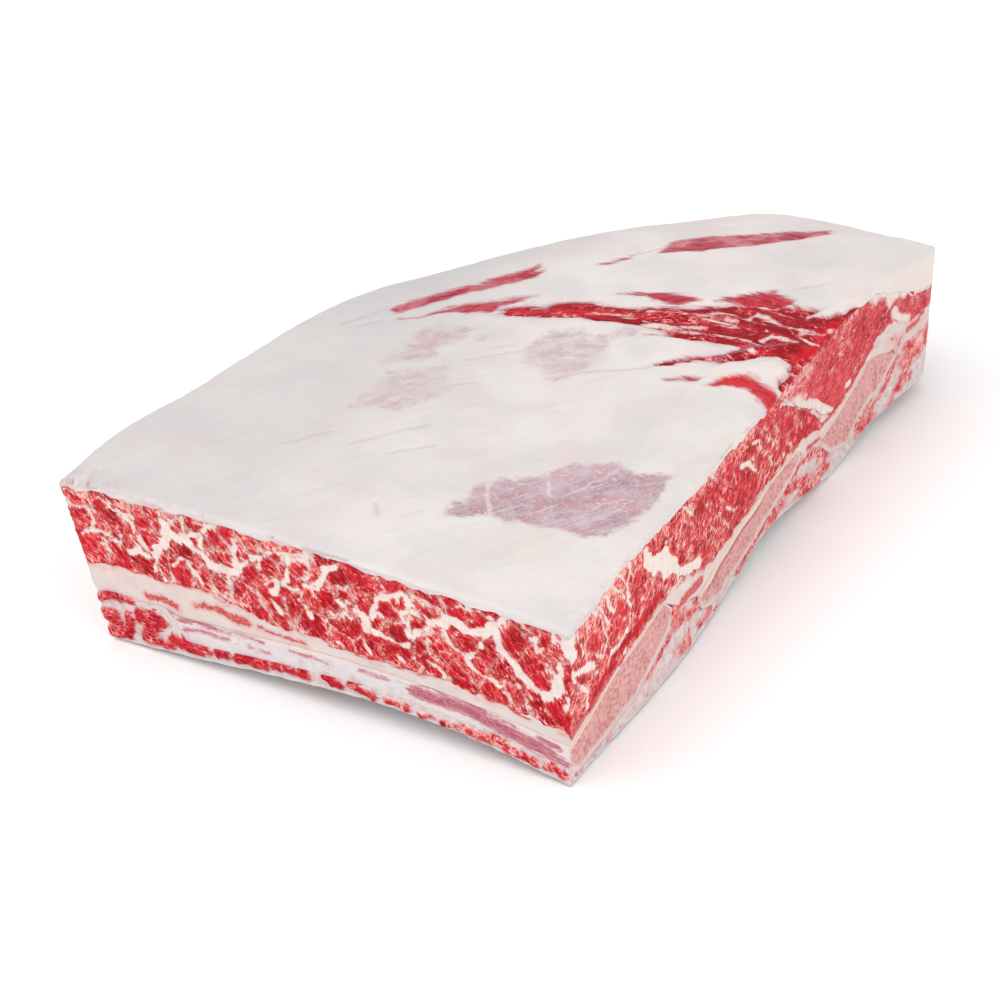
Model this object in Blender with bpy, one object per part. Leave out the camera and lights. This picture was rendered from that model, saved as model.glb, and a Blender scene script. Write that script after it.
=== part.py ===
# Three-bone slab of raw beef plate ribs, resting on its bone side.
# +X runs along the ribs, +Y across them, +Z is up. Lengths below are millimetres.
import bpy
import bmesh
import math

MM = 0.001
HALF_LENGTH = 86.0
HALF_WIDTH = 140.0
THICKNESS = 54.0
STATIONS = 14
GAP = 0.45

LEFT_UNDERCUT = 16.0
RIGHT_FACE_HOLLOW = 3.6
RIGHT_FOOT_FLARE = 4.0
RIB_ARCH = 7.0
FRONT_CROWN = 3.0
SHOULDER_START = 50.0
SHOULDER_RATE = 0.012
SHOULDER_ACROSS = 0.823
CORNER_SLOPE = 0.62

CAP_THICKNESS = 2.4
CAP_BACK_CORNER = 11.0
MEMBRANE_THICKNESS = 1.2

CAP_ROWS = [-140, -130, -118, -106, -94, -82, -70, -58, -46, -34, -22, -10, 5, 9,
            20, 32, 44, 56, 68, 80, 92, 104, 116, 128, 140]
BASE_ROWS = list(range(-140, 141, 10))


def clear_scene():
    for item in list(bpy.data.objects):
        bpy.data.objects.remove(item, do_unlink=True)


def ease(value, low, high):
    share = min(max((value - low) / (high - low), 0.0), 1.0)
    return share * share * (3.0 - 2.0 * share)


def line_through(points):
    """A height line with straight runs between (across, height) points."""
    def height(y):
        for (y0, z0), (y1, z1) in zip(points, points[1:]):
            if y <= y1:
                share = max((y - y0) / (y1 - y0), 0.0)
                return z0 + share * (z1 - z0)
        return points[-1][1]
    return height


def curve_through(points):
    """A smooth height line through (across, height) points, with no overshoot."""
    slopes = [(q[1] - p[1]) / (q[0] - p[0]) for p, q in zip(points, points[1:])]
    tangents = [slopes[0]]
    for before, after in zip(slopes, slopes[1:]):
        product = before * after
        tangents.append(2.0 * product / (before + after) if product > 0.0 else 0.0)
    tangents.append(slopes[-1])

    def height(y):
        y = min(max(y, points[0][0]), points[-1][0])
        index = 0
        while index < len(points) - 2 and y > points[index + 1][0]:
            index += 1
        (y0, z0), (y1, z1) = points[index], points[index + 1]
        run = y1 - y0
        t = (y - y0) / run
        rise = (2 * t ** 3 - 3 * t ** 2 + 1) * z0 + (3 * t ** 2 - 2 * t ** 3) * z1
        start = (t ** 3 - 2 * t ** 2 + t) * tangents[index]
        end = (t ** 3 - t ** 2) * tangents[index + 1]
        return rise + run * (start + end)
    return height


slab_top = curve_through([(-140, 52), (-110, 55), (-70, 54.5), (-20, 54.5), (30, 57),
                          (85, 60.5), (125, 56), (140, 54)])
slab_base = curve_through([(-140, 0), (-95, 0.5), (-60, 0), (-20, 2.8), (5, 6),
                           (35, 3.2), (60, 0), (95, 4.8), (125, 4.6), (140, 5)])
# Top of the rib layer at the bone ends, over each bone and down into each gap.
RIB_PROFILE = [(-140, 14.2), (-134, 15.2), (-127, 17.8), (-114, 21.8), (-95, 24.8),
               (-79, 27.8), (-73, 23.8), (-66, 19.2), (-58, 16.8), (-52, 15.2),
               (-44, 16.2), (-33, 18.8), (-14, 21.8), (7, 23.8), (27, 25.8), (31, 23.0),
               (38, 20.2), (46, 19.8), (50, 20.6), (64, 23.8), (76, 27.8), (86, 32.8),
               (96, 30.8), (108, 26.4), (116, 26.0), (128, 27.0), (140, 27.0)]
# Underside of the big muscles at the bone ends.
MEAT_PROFILE = [(-140, 18), (-127, 19.4), (-114, 23.0), (-95, 26.4), (-79, 29.4),
                (-66, 27.6), (-52, 23.6), (-33, 20.8), (-14, 23.4), (7, 25.4), (27, 27.4),
                (38, 26.0), (50, 24.0), (58, 24.8), (64, 25.8), (76, 30.0), (86, 35.0),
                (96, 39.0), (103, 40.0), (116, 34.5), (128, 33.0), (140, 33.0)]
rib_line = line_through(RIB_PROFILE)
meat_line = curve_through(MEAT_PROFILE)
RIB_ROWS = [y for y, z in RIB_PROFILE]
MEAT_ROWS = [y for y, z in MEAT_PROFILE]

BONE_SECTIONS = [
    [(-139.6, 5.6), (-139.6, 12.6), (-134, 14.4), (-127, 17), (-114, 21), (-95, 24),
     (-79, 27), (-73, 21), (-79, 14), (-91, 10), (-100, 6), (-120, 3.8), (-135.5, 2.6)],
    [(-52, 13), (-33, 18), (-14, 21), (7, 23), (27, 25), (31, 21), (24, 16), (4, 11),
     (-13, 7), (-35, 5), (-44, 6.3), (-51, 9)],
    [(50, 19), (64, 23), (76, 27), (86, 32), (96, 30), (108, 25), (99, 17), (82, 13),
     (71, 6), (58, 9.5), (51, 15)],
]

# Openings in the cap, in plan: bare meat shows through them.
CAP_OPENINGS = {
    "cut_shoulder": [(-31, 18), (-21, 28), (-9, 35), (4, 42), (21, 54), (43, 61), (67, 63),
                     (95, 77), (95, -3), (80, 1), (69, 9), (55, 7), (42, 6), (55, 11),
                     (70, 15), (82, 12), (84, 24), (66, 27), (50, 20), (39, 10), (44, 18),
                     (37, 26), (21, 27), (6, 25), (-16, 20)],
    "cut_left_strip": [(-65, 3), (-57, 18), (-45, 36), (-33, 49), (-36, 38), (-50, 17)],
    "cut_thin_strip": [(-66, -9), (-55, 6), (-41, 21), (-26, 31), (-39, 18), (-53, 3)],
    "cut_back_strip": [(-2, 79), (1, 96), (16, 112), (28, 131), (24, 107), (10, 84)],
}


def left_edge(y):
    ramp = (math.hypot(y - 57.0, 14.0) + (y - 57.0)) / 2.0
    turn = min(max((y - 118.0) / 22.0, 0.0), 0.97)
    taper = 11.8 * (y + HALF_WIDTH) / HALF_WIDTH
    corner = 26.0 * (1.0 - math.sqrt(1.0 - turn * turn))
    return -HALF_LENGTH - 2.16 + taper + CORNER_SLOPE * ramp + corner


def right_edge(y):
    spread = 2.5 * min(max((y - 90.0) / 50.0, 0.0), 1.0)
    turn = min(max((y - 130.0) / 10.0, 0.0), 1.0)
    return HALF_LENGTH - 0.36 + spread - 2.5 * turn * turn


def bend(x, y, z):
    """Takes a point of the straight block to its place in the arched, tapered slab."""
    along = (x + HALF_LENGTH) / (2.0 * HALF_LENGTH)
    up = z / THICKNESS
    low = 1.0 - min(max(up, 0.0), 1.0)
    middle = math.sin(math.pi * min(max((y + HALF_WIDTH) / (2.0 * HALF_WIDTH), 0.0), 1.0))
    place = left_edge(y) * (1.0 - along) + right_edge(y) * along
    place += LEFT_UNDERCUT * low * max(1.0 - along, 0.0) ** 1.3
    place -= RIGHT_FACE_HOLLOW * middle * along ** 3
    place += RIGHT_FOOT_FLARE * low * along ** 4 * math.exp(-((y + 75.0) / 55.0) ** 2)
    arch = RIB_ARCH * math.sin(math.pi * min(along, 1.0) ** 1.48)
    crown = FRONT_CROWN * math.sin(math.pi * min(along, 1.0) ** 0.6)
    crown *= math.exp(-(y + HALF_WIDTH) / 60.0)
    across = math.sqrt(1.0 - SHOULDER_ACROSS ** 2)
    outward = max(-SHOULDER_ACROSS * place + across * y - SHOULDER_START, 0.0)
    rise = arch * (1.0 - up)
    rise += (crown - SHOULDER_RATE * outward ** 2) * min(max(up, 0.0), 1.2) ** 1.2
    return (place * MM, y * MM, (z + rise) * MM)


def leftness(x):
    return ease(-x, 5.0, 45.0)


def cap_thickness(x, y):
    corner = ease(x, 40.0, 86.0) * ease(y, 72.0, 134.0)
    return CAP_THICKNESS + CAP_BACK_CORNER * corner


def cap_under(x, y):
    return slab_top(y) - cap_thickness(x, y)


def rib_top(x, y):
    return rib_line(y) + 2.4 * leftness(x) * math.exp(-(y + HALF_WIDTH) / 9.0)


def meat_under(x, y):
    front = 2.6 * math.exp(-(y + HALF_WIDTH) / 40.0)
    return meat_line(y) + leftness(x) * (5.0 + front)


def base_top(y):
    return slab_base(y) + MEMBRANE_THICKNESS


def make_object(name, mesh_data, colour, roughness):
    bmesh.ops.triangulate(mesh_data, faces=mesh_data.faces[:])
    bmesh.ops.recalc_face_normals(mesh_data, faces=mesh_data.faces[:])
    if mesh_data.calc_volume(signed=True) < 0.0:
        bmesh.ops.reverse_faces(mesh_data, faces=mesh_data.faces[:])
    mesh = bpy.data.meshes.new(name)
    mesh_data.to_mesh(mesh)
    mesh_data.free()
    item = bpy.data.objects.new(name, mesh)
    bpy.context.scene.collection.objects.link(item)
    if colour is not None:
        material = bpy.data.materials.new(name)
        material.use_nodes = True
        shader = material.node_tree.nodes["Principled BSDF"]
        shader.inputs["Base Color"].default_value = (*colour, 1.0)
        shader.inputs["Roughness"].default_value = roughness
        mesh.materials.append(material)
    return item


def loft(name, ring_at, colour, roughness):
    """One closed body from the (across, height) ring at each station along the ribs."""
    mesh_data = bmesh.new()
    rings = []
    outlines = []
    for step in range(STATIONS):
        x = -HALF_LENGTH + 2.0 * HALF_LENGTH * step / (STATIONS - 1)
        outline = ring_at(x)
        outlines.append(outline)
        rings.append([mesh_data.verts.new(bend(x, y, z)) for y, z in outline])
    count = len(rings[0])
    for outline, near, far in zip(outlines, rings, rings[1:]):
        for j in range(count):
            k = (j + 1) % count
            if outline[k][0] > outline[j][0]:
                mesh_data.faces.new((near[j], near[k], far[k]))
                mesh_data.faces.new((near[j], far[k], far[j]))
            else:
                mesh_data.faces.new((near[j], near[k], far[j]))
                mesh_data.faces.new((near[k], far[k], far[j]))
    mesh_data.faces.new(list(reversed(rings[0])))
    mesh_data.faces.new(rings[-1])
    return make_object(name, mesh_data, colour, roughness)


def layer_ring(x, rows_above, above, rows_below, below):
    ring = [(y, above(x, y)) for y in rows_above]
    ring += [(y, below(x, y)) for y in reversed(rows_below)]
    return ring


def opening(name, outline):
    """An upright cutter through the cap along a plan outline."""
    mesh_data = bmesh.new()
    places = [bend(x, y, slab_top(y)) for x, y in outline]
    low = [mesh_data.verts.new((x, y, 15.0 * MM)) for x, y, z in places]
    high = [mesh_data.verts.new((x, y, 90.0 * MM)) for x, y, z in places]
    mesh_data.faces.new(low)
    mesh_data.faces.new(list(reversed(high)))
    for j in range(len(low)):
        k = (j + 1) % len(low)
        mesh_data.faces.new((low[j], high[j], high[k], low[k]))
    cutter = make_object(name, mesh_data, None, 0.5)
    cutter.hide_render = True
    cutter.display_type = "WIRE"
    return cutter


def build_cap():
    def ring(x):
        return layer_ring(x, CAP_ROWS, lambda _, y: slab_top(y), CAP_ROWS, cap_under)
    cap = loft("fat_cap", ring, (0.86, 0.81, 0.79), 0.38)
    for name, outline in CAP_OPENINGS.items():
        cut = cap.modifiers.new(name, "BOOLEAN")
        cut.operation = "DIFFERENCE"
        cut.solver = "EXACT"
        cut.object = opening(name, outline)


def build_muscles():
    def under_cap(x, y):
        return cap_under(x, y) - GAP

    def over_seam(x, y):
        return meat_under(x, y) + GAP

    def front_ring(x):
        above = [y for y in CAP_ROWS if y <= 5]
        below = [y for y in MEAT_ROWS if y <= 50]
        ring = [(y, under_cap(x, y)) for y in above]
        ring.append((26.5, 40.5))
        ring += [(y, over_seam(x, y)) for y in reversed(below)]
        return ring

    def back_ring(x):
        above = [y for y in CAP_ROWS if y >= 9]
        below = [y for y in MEAT_ROWS if y >= 58]
        ring = [(y, under_cap(x, y)) for y in above]
        ring += [(y, over_seam(x, y)) for y in reversed(below)]
        ring.append((33.0, 42.5))
        return ring

    def divider_ring(x):
        return [(5.5, under_cap(x, 5.5)), (8.5, under_cap(x, 8.5)), (32.3, 42.2),
                (57.3, over_seam(x, 57.3)), (50.7, over_seam(x, 50.7)), (27.2, 40.8)]

    loft("short_rib_muscle", front_ring, (0.60, 0.06, 0.07), 0.45)
    loft("deckle_muscle", back_ring, (0.52, 0.05, 0.07), 0.42)
    loft("divider_fat", divider_ring, (0.88, 0.80, 0.74), 0.42)


def build_rib_seam():
    def ring(x):
        return layer_ring(x, MEAT_ROWS, meat_under, RIB_ROWS, rib_top)
    loft("rib_seam_fat", ring, (0.87, 0.80, 0.75), 0.42)


def first_bone_section(x):
    """The first rib draws back from the front face toward its left end."""
    squeeze = 1.0 - 0.32 * ease(-x, 30.0, 86.0)
    return [(-100 + (y + 100) * squeeze if y < -100 else y, z) for y, z in BONE_SECTIONS[0]]


def build_bones():
    loft("rib_bone_1", first_bone_section, (0.80, 0.52, 0.49), 0.5)
    loft("rib_bone_2", lambda x: BONE_SECTIONS[1], (0.80, 0.52, 0.49), 0.5)
    loft("rib_bone_3", lambda x: BONE_SECTIONS[2], (0.80, 0.52, 0.49), 0.5)


def build_intercostals():
    def floor_run(first, last):
        rows = [first] + [y for y in BASE_ROWS if first < y < last] + [last]
        return [(y, base_top(y) + GAP) for y in rows]

    def front_strip(x):
        bone = first_bone_section(x)
        face = bone[0][0]
        height = 4.8 + (8.8 + 1.6 * leftness(x)) * ease(face, -139.6, -133.0)
        inner = max(face - 0.5, -139.3)
        heel = bone[-1][0] - 0.4
        return [(-139.9, base_top(-140) + GAP), (-139.9, height), (inner, height),
                (inner, 4.7), (heel, base_top(heel) + GAP + 0.1)]

    def first_gap(x):
        ring = floor_run(-120, -40)
        ring += [(-44.6, 5.5), (-51.8, 8.4), (-53.0, 12.8), (-53.4, 14.0), (-58, 16.0)]
        ring += [(-66, 18.4), (-72.2, 21.4), (-78.4, 13.3), (-90.8, 9.2), (-100, 5.2)]
        return ring

    def second_gap(x):
        ring = floor_run(-22, 66)
        ring += [(57.4, 8.8), (50.2, 14.6), (49.2, 18.4), (46, 19.0), (38, 19.4)]
        ring += [(31.9, 20.8), (24.4, 15.2), (4.2, 10.2), (-13, 6.2)]
        return ring

    def back_edge(x):
        ring = floor_run(77, 140)
        ring += [(140, 26.3), (128, 26.3), (116, 25.3), (109.2, 25.0), (99.6, 16.2)]
        ring += [(82.4, 12.2)]
        return ring

    rings = [front_strip, first_gap, second_gap, back_edge]
    for number, ring in enumerate(rings, start=1):
        loft("intercostal_meat_%d" % number, ring, (0.50, 0.06, 0.07), 0.45)


def build_membrane():
    def ring(x):
        rows = BASE_ROWS
        return layer_ring(x, rows, lambda _, y: base_top(y), rows, lambda _, y: slab_base(y))
    loft("rib_membrane", ring, (0.72, 0.66, 0.68), 0.35)


clear_scene()
build_cap()
build_muscles()
build_rib_seam()
build_bones()
build_intercostals()
build_membrane()
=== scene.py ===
import math

import bpy
import numpy as np
from mathutils import Matrix, Vector, geometry


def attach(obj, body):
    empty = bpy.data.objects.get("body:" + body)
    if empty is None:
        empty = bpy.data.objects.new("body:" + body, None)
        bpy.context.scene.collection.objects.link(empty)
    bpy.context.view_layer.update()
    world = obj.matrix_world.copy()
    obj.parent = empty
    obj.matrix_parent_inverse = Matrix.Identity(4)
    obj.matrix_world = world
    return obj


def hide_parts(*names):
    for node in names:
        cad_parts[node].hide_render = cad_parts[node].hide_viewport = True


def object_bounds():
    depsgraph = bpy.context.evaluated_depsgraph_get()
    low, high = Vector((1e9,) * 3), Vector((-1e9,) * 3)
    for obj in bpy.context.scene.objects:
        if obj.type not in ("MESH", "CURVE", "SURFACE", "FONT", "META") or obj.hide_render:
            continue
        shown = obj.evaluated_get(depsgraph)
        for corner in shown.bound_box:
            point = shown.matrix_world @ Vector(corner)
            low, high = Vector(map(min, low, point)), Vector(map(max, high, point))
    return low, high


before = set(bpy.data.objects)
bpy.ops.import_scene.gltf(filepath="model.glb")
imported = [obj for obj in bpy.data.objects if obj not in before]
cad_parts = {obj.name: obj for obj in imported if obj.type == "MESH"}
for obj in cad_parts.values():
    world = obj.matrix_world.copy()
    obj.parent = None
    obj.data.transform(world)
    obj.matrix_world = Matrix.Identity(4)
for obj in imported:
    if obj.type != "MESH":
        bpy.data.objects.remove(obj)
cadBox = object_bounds()
mm = 0.001

# The slab in flat coordinates, in mm: x along the ribs, y across them, z up. bend() arches and tapers it.
slab = {
    "halfLength": 86.0, "halfWidth": 140.0, "thickness": 54.0,
    "leftUndercut": 16.0, "rightHollow": 3.6, "rightFoot": 4.0, "footAt": -75.0, "footWidth": 55.0,
    "arch": 7.0, "archSkew": 1.48, "frontCrown": 3.0, "crownSkew": 0.6, "crownReach": 60.0,
    "shoulderStart": 50.0, "shoulderRate": 0.012, "shoulderAcross": 0.823,
    "cap": 2.4, "capBackCorner": 11.0, "cornerAlong": (40.0, 86.0), "cornerAcross": (72.0, 134.0),
    "lining": 1.2, "liningToMeat": 0.9, "leftRun": (5.0, 45.0),
    "squeezeFrom": -100.0, "squeezeBy": 0.32, "squeezeStart": 52.0,
    "ribLip": 2.4, "lipEnds": (-127.0, -121.0), "meatRise": 5.0, "frontRise": 2.6, "riseReach": 40.0,
    "fibreCentre": (50.0, -75.0), "fibreRadius": 122.0,
}
# Its outline from above: the left edge slopes off towards a round back corner, the right one flares.
plan = {
    "leftShift": -2.16, "taper": 11.8, "slope": 0.62, "slopeStart": 57.0, "slopeBlend": 14.0,
    "roundStart": 118.0, "roundRun": 22.0, "roundMost": 0.97, "roundDepth": 26.0,
    "rightShift": -0.36, "flare": 2.5, "flareStart": 90.0, "flareRun": 50.0,
    "backStart": 130.0, "backRun": 10.0,
}


def ease(value, low, high):
    share = np.clip((value - low) / (high - low), 0.0, 1.0)
    return share * share * (3.0 - 2.0 * share)


def curveThrough(points):  # a smooth height line with no overshoot
    rows = np.array(points, float)
    slopes = np.diff(rows[:, 1]) / np.diff(rows[:, 0])
    product = slopes[:-1] * slopes[1:]
    total = np.where(product > 0.0, slopes[:-1] + slopes[1:], 1.0)
    middle = np.where(product > 0.0, 2.0 * product / total, 0.0)
    tangents = np.concatenate([slopes[:1], middle, slopes[-1:]])

    def height(y):
        y = np.clip(y, rows[0, 0], rows[-1, 0])
        at = np.clip(np.searchsorted(rows[:, 0], y, side="right") - 1, 0, len(rows) - 2)
        run = rows[at + 1, 0] - rows[at, 0]
        t = (y - rows[at, 0]) / run
        ends = (2 * t ** 3 - 3 * t ** 2 + 1) * rows[at, 1] + (3 * t ** 2 - 2 * t ** 3) * rows[at + 1, 1]
        lean = (t ** 3 - 2 * t ** 2 + t) * tangents[at] + (t ** 3 - t ** 2) * tangents[at + 1]
        return ends + run * lean
    return height


def lineThrough(points):
    rows = np.array(points, float)
    return lambda y: np.interp(y, rows[:, 0], rows[:, 1])


slabTop = curveThrough([(-140, 52), (-110, 55), (-70, 54.5), (-20, 54.5), (30, 57), (85, 60.5),
                        (125, 56), (140, 54)])
slabBase = curveThrough([(-140, 0), (-95, 0.5), (-60, 0), (-20, 2.8), (5, 6), (35, 3.2), (60, 0),
                         (95, 4.8), (125, 4.6), (140, 5)])
ribLine = lineThrough([(-140, 14.2), (-134, 15.2), (-127, 17.8), (-114, 21.8), (-95, 24.8), (-79, 27.8),
                       (-73, 23.8), (-66, 19.2), (-58, 16.8), (-52, 15.2), (-44, 16.2), (-33, 18.8),
                       (-14, 21.8), (7, 23.8), (27, 25.8), (31, 23.0), (38, 20.2), (46, 19.8),
                       (50, 20.6), (64, 23.8), (76, 27.8), (86, 32.8), (96, 30.8), (108, 26.4),
                       (116, 26.0), (128, 27.0), (140, 27.0)])
meatLine = curveThrough([(-140, 18), (-127, 19.4), (-114, 23.0), (-95, 26.4), (-79, 29.4), (-66, 27.6),
                         (-52, 23.6), (-33, 20.8), (-14, 23.4), (7, 25.4), (27, 27.4), (38, 26.0),
                         (50, 24.0), (58, 24.8), (64, 25.8), (76, 30.0), (86, 35.0), (96, 39.0),
                         (103, 40.0), (116, 34.5), (128, 33.0), (140, 33.0)])


def leftEdge(y):
    beyond = y - plan["slopeStart"]
    ramp = (np.hypot(beyond, plan["slopeBlend"]) + beyond) / 2.0
    turn = np.clip((y - plan["roundStart"]) / plan["roundRun"], 0.0, plan["roundMost"])
    taper = plan["taper"] * (y + slab["halfWidth"]) / slab["halfWidth"]
    corner = plan["roundDepth"] * (1.0 - np.sqrt(1.0 - turn * turn))
    return plan["leftShift"] - slab["halfLength"] + taper + plan["slope"] * ramp + corner


def rightEdge(y):
    turn = np.clip((y - plan["backStart"]) / plan["backRun"], 0.0, 1.0)
    flare = np.clip((y - plan["flareStart"]) / plan["flareRun"], 0.0, 1.0)
    return slab["halfLength"] + plan["rightShift"] + plan["flare"] * (flare - turn * turn)


def bend(flat):  # flat places in mm to their place in the slab, in metres
    x, y, z = flat.T
    along = (x + slab["halfLength"]) / (2.0 * slab["halfLength"])
    inside = np.clip(along, 0.0, 1.0)
    up = z / slab["thickness"]
    low = 1.0 - np.clip(up, 0.0, 1.0)
    middle = np.sin(math.pi * np.clip((y + slab["halfWidth"]) / (2.0 * slab["halfWidth"]), 0.0, 1.0))
    place = leftEdge(y) * (1.0 - along) + rightEdge(y) * along
    place += slab["leftUndercut"] * low * (1.0 - inside) ** 1.3
    place -= slab["rightHollow"] * middle * inside ** 3
    foot = np.exp(-((y - slab["footAt"]) / slab["footWidth"]) ** 2)
    place += slab["rightFoot"] * low * inside ** 4 * foot
    arch = slab["arch"] * np.sin(math.pi * inside ** slab["archSkew"])
    crown = slab["frontCrown"] * np.sin(math.pi * inside ** slab["crownSkew"])
    crown *= np.exp(-(y + slab["halfWidth"]) / slab["crownReach"])
    across = math.sqrt(1.0 - slab["shoulderAcross"] ** 2)
    outward = np.maximum(-slab["shoulderAcross"] * place + across * y - slab["shoulderStart"], 0.0)
    rise = arch * (1.0 - up)
    rise += (crown - slab["shoulderRate"] * outward ** 2) * np.clip(up, 0.0, 1.2) ** 1.2
    return np.stack([place, y, z + rise], axis=1) * mm


def leftness(x):
    return ease(-x, *slab["leftRun"])


def capUnder(x, y):
    corner = ease(x, *slab["cornerAlong"]) * ease(y, *slab["cornerAcross"])
    return slabTop(y) - slab["cap"] - slab["capBackCorner"] * corner


def squeeze(x):  # towards the left end the first rib's front side draws back
    return 1.0 - slab["squeezeBy"] * ease(-x, slab["squeezeStart"], slab["halfLength"])


def ribSqueeze(x, y):
    start = slab["squeezeFrom"]
    return np.where(y < start, start + (y - start) * squeeze(x), y)


def ribUnder(x, y):  # the ribs' upper line with that drawn in
    start = slab["squeezeFrom"]
    return ribLine(np.where(y < start, start + (y - start) / squeeze(x), y))


def overLip(y):  # 1 over the first rib's outer end, where the fat seam lies higher
    return 1.0 - ease(y, *slab["lipEnds"])


def ribTop(x, y):
    return ribUnder(x, y) + slab["ribLip"] * leftness(x) * overLip(y)


def meatUnder(x, y):
    front = np.exp(-(y + slab["halfWidth"]) / slab["riseReach"])
    return meatLine(y) + leftness(x) * (slab["meatRise"] + slab["frontRise"] * front)


def alongRibs(share):
    return -slab["halfLength"] + 2.0 * slab["halfLength"] * share


def acrossRibs(share):
    return -slab["halfWidth"] + 2.0 * slab["halfWidth"] * share


def between(low, high, share):
    return low + share * (high - low)


def edgeAway(x, y):  # mm in from the slab's nearest side
    return np.minimum(slab["halfLength"] - np.abs(x), slab["halfWidth"] - np.abs(y))


def arcOver(x, y, centre=slab["fibreCentre"], radius=slab["fibreRadius"]):  # along the curved fibres, across
    return -np.arctan2(y - centre[1], x - centre[0]) * radius, np.hypot(x - centre[0], y - centre[1])


def turned(a, b, angle):
    return a * np.cos(angle) + b * np.sin(angle), -a * np.sin(angle) + b * np.cos(angle)


def bulge(edge, reach):  # rises from 0 at an edge to 1 well inside it
    return 1.0 - np.exp(-np.maximum(edge, 0.0) / reach)


# Steady random fields: the same in every run.
def hashed(cells, seed):
    total = cells[:, 0] * 374761393 + cells[:, 1] * 668265263 + cells[:, 2] * 1442695041
    total = (total + seed * 974634777) & 0xffffffff
    total = ((total ^ (total >> 13)) * 1274126177) & 0xffffffff
    return (total ^ (total >> 16)) / 4294967296.0


def softNoise(places, size, seed):  # smooth and even, -1 to 1
    scaled = places / np.array(size, float)
    base = np.floor(scaled).astype(np.int64)
    part = scaled - base
    part = part * part * (3.0 - 2.0 * part)
    total = np.zeros(len(places))
    for corner in range(8):
        step = np.array([corner & 1, (corner >> 1) & 1, (corner >> 2) & 1])
        weight = np.prod(np.where(step == 1, part, 1.0 - part), axis=1)
        total += weight * hashed(base + step, seed)
    return total * 2.0 - 1.0


def flatNoise(a, b, size, seed):  # the same over two coordinates, in patches of one size or of two
    sizes = size if isinstance(size, tuple) else (size, size)
    return softNoise(np.stack([a, b, np.zeros(len(a))], axis=1), (*sizes, 1.0), seed)


def cellsOver(a, b, size, seed):  # (distance to the nearest border in mm, tone) of uneven cells
    scaled = np.stack([a / size[0], b / size[1]], axis=1)
    base = np.floor(scaled).astype(np.int64)
    near = np.full(len(a), 9.0)
    second = near
    tone = np.zeros(len(a))
    for stepA in (-1, 0, 1):
        for stepB in (-1, 0, 1):
            cell = np.stack([base[:, 0] + stepA, base[:, 1] + stepB, np.zeros(len(a), np.int64)], axis=1)
            seedA = cell[:, 0] + 0.12 + 0.76 * hashed(cell, seed)
            seedB = cell[:, 1] + 0.12 + 0.76 * hashed(cell, seed + 7)
            reach = np.hypot(scaled[:, 0] - seedA, scaled[:, 1] - seedB)
            closer = reach < near
            second = np.where(closer, near, np.minimum(second, reach))
            tone = np.where(closer, hashed(cell, seed + 13), tone)
            near = np.minimum(near, reach)
    return (second - near) * 0.25 * (size[0] + size[1]), tone


def cellsRound(a, b, centres, stretch, angle):  # the same, round listed centres
    turn = np.array([[math.cos(angle), math.sin(angle)], [-math.sin(angle), math.cos(angle)]])
    turn[0] /= stretch
    places = np.stack([a, b], axis=1) @ turn.T
    seeds = np.array(centres, float) @ turn.T
    reach = np.hypot(places[:, None, 0] - seeds[None, :, 0], places[:, None, 1] - seeds[None, :, 1])
    order = np.argpartition(reach, 1, axis=1)[:, :2]
    pair = np.sort(np.take_along_axis(reach, order, axis=1), axis=1)
    nearest = np.argmin(reach, axis=1)
    tone = hashed(np.stack([nearest, nearest, nearest], axis=1).astype(np.int64), 5)
    return (pair[:, 1] - pair[:, 0]) * 0.5, tone, np.array(centres, float)[nearest]


def awayFrom(a, b, start, end):  # mm to a straight run
    (a0, b0), (a1, b1) = start, end
    t = ((a - a0) * (a1 - a0) + (b - b0) * (b1 - b0)) / ((a1 - a0) ** 2 + (b1 - b0) ** 2)
    t = np.clip(t, 0.0, 1.0)
    return np.hypot(a - a0 - t * (a1 - a0), b - b0 - t * (b1 - b0))


def lineReach(a, b, lines):  # mm inside the nearest line; each is (half width, points)
    best = np.full(len(a), -99.0)
    for width, points in lines:
        for start, end in zip(points, points[1:]):
            best = np.maximum(best, width - awayFrom(a, b, start, end))
    return best


def patchReach(a, b, outline):  # mm inside an outline
    away = np.full(len(a), 1e9)
    inside = np.zeros(len(a), bool)
    for start, end in zip(outline, outline[1:] + outline[:1]):
        away = np.minimum(away, awayFrom(a, b, start, end))
        if start[1] != end[1]:
            edge = start[0] + (b - start[1]) * (end[0] - start[0]) / (end[1] - start[1])
            inside ^= ((start[1] > b) != (end[1] > b)) & (a < edge)
    return np.where(inside, away, -away)


def gradedReach(a, b, patches):  # the same for the nearest of many (number, outline), with its number
    reach = np.array([patchReach(a, b, outline) for number, outline in patches])
    return reach.max(axis=0), np.array([number for number, outline in patches])[reach.argmax(axis=0)]


# A piece is a block of rows in three directions: visible sides get every row, hidden ones a coarse skin.
sides = {  # fixed direction, which end of it, the two running directions, turned over
    "left": (0, 0, 1, 2, True), "right": (0, 1, 1, 2, False),
    "front": (1, 0, 0, 2, False), "back": (1, 1, 0, 2, True),
    "bottom": (2, 0, 0, 1, True), "top": (2, 1, 0, 1, False),
}
sideNames = list(sides)


def sideIndex(ids, name):
    fixed, end = sides[name][:2]
    return np.take(ids, -1 if end else 0, axis=fixed)


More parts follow.
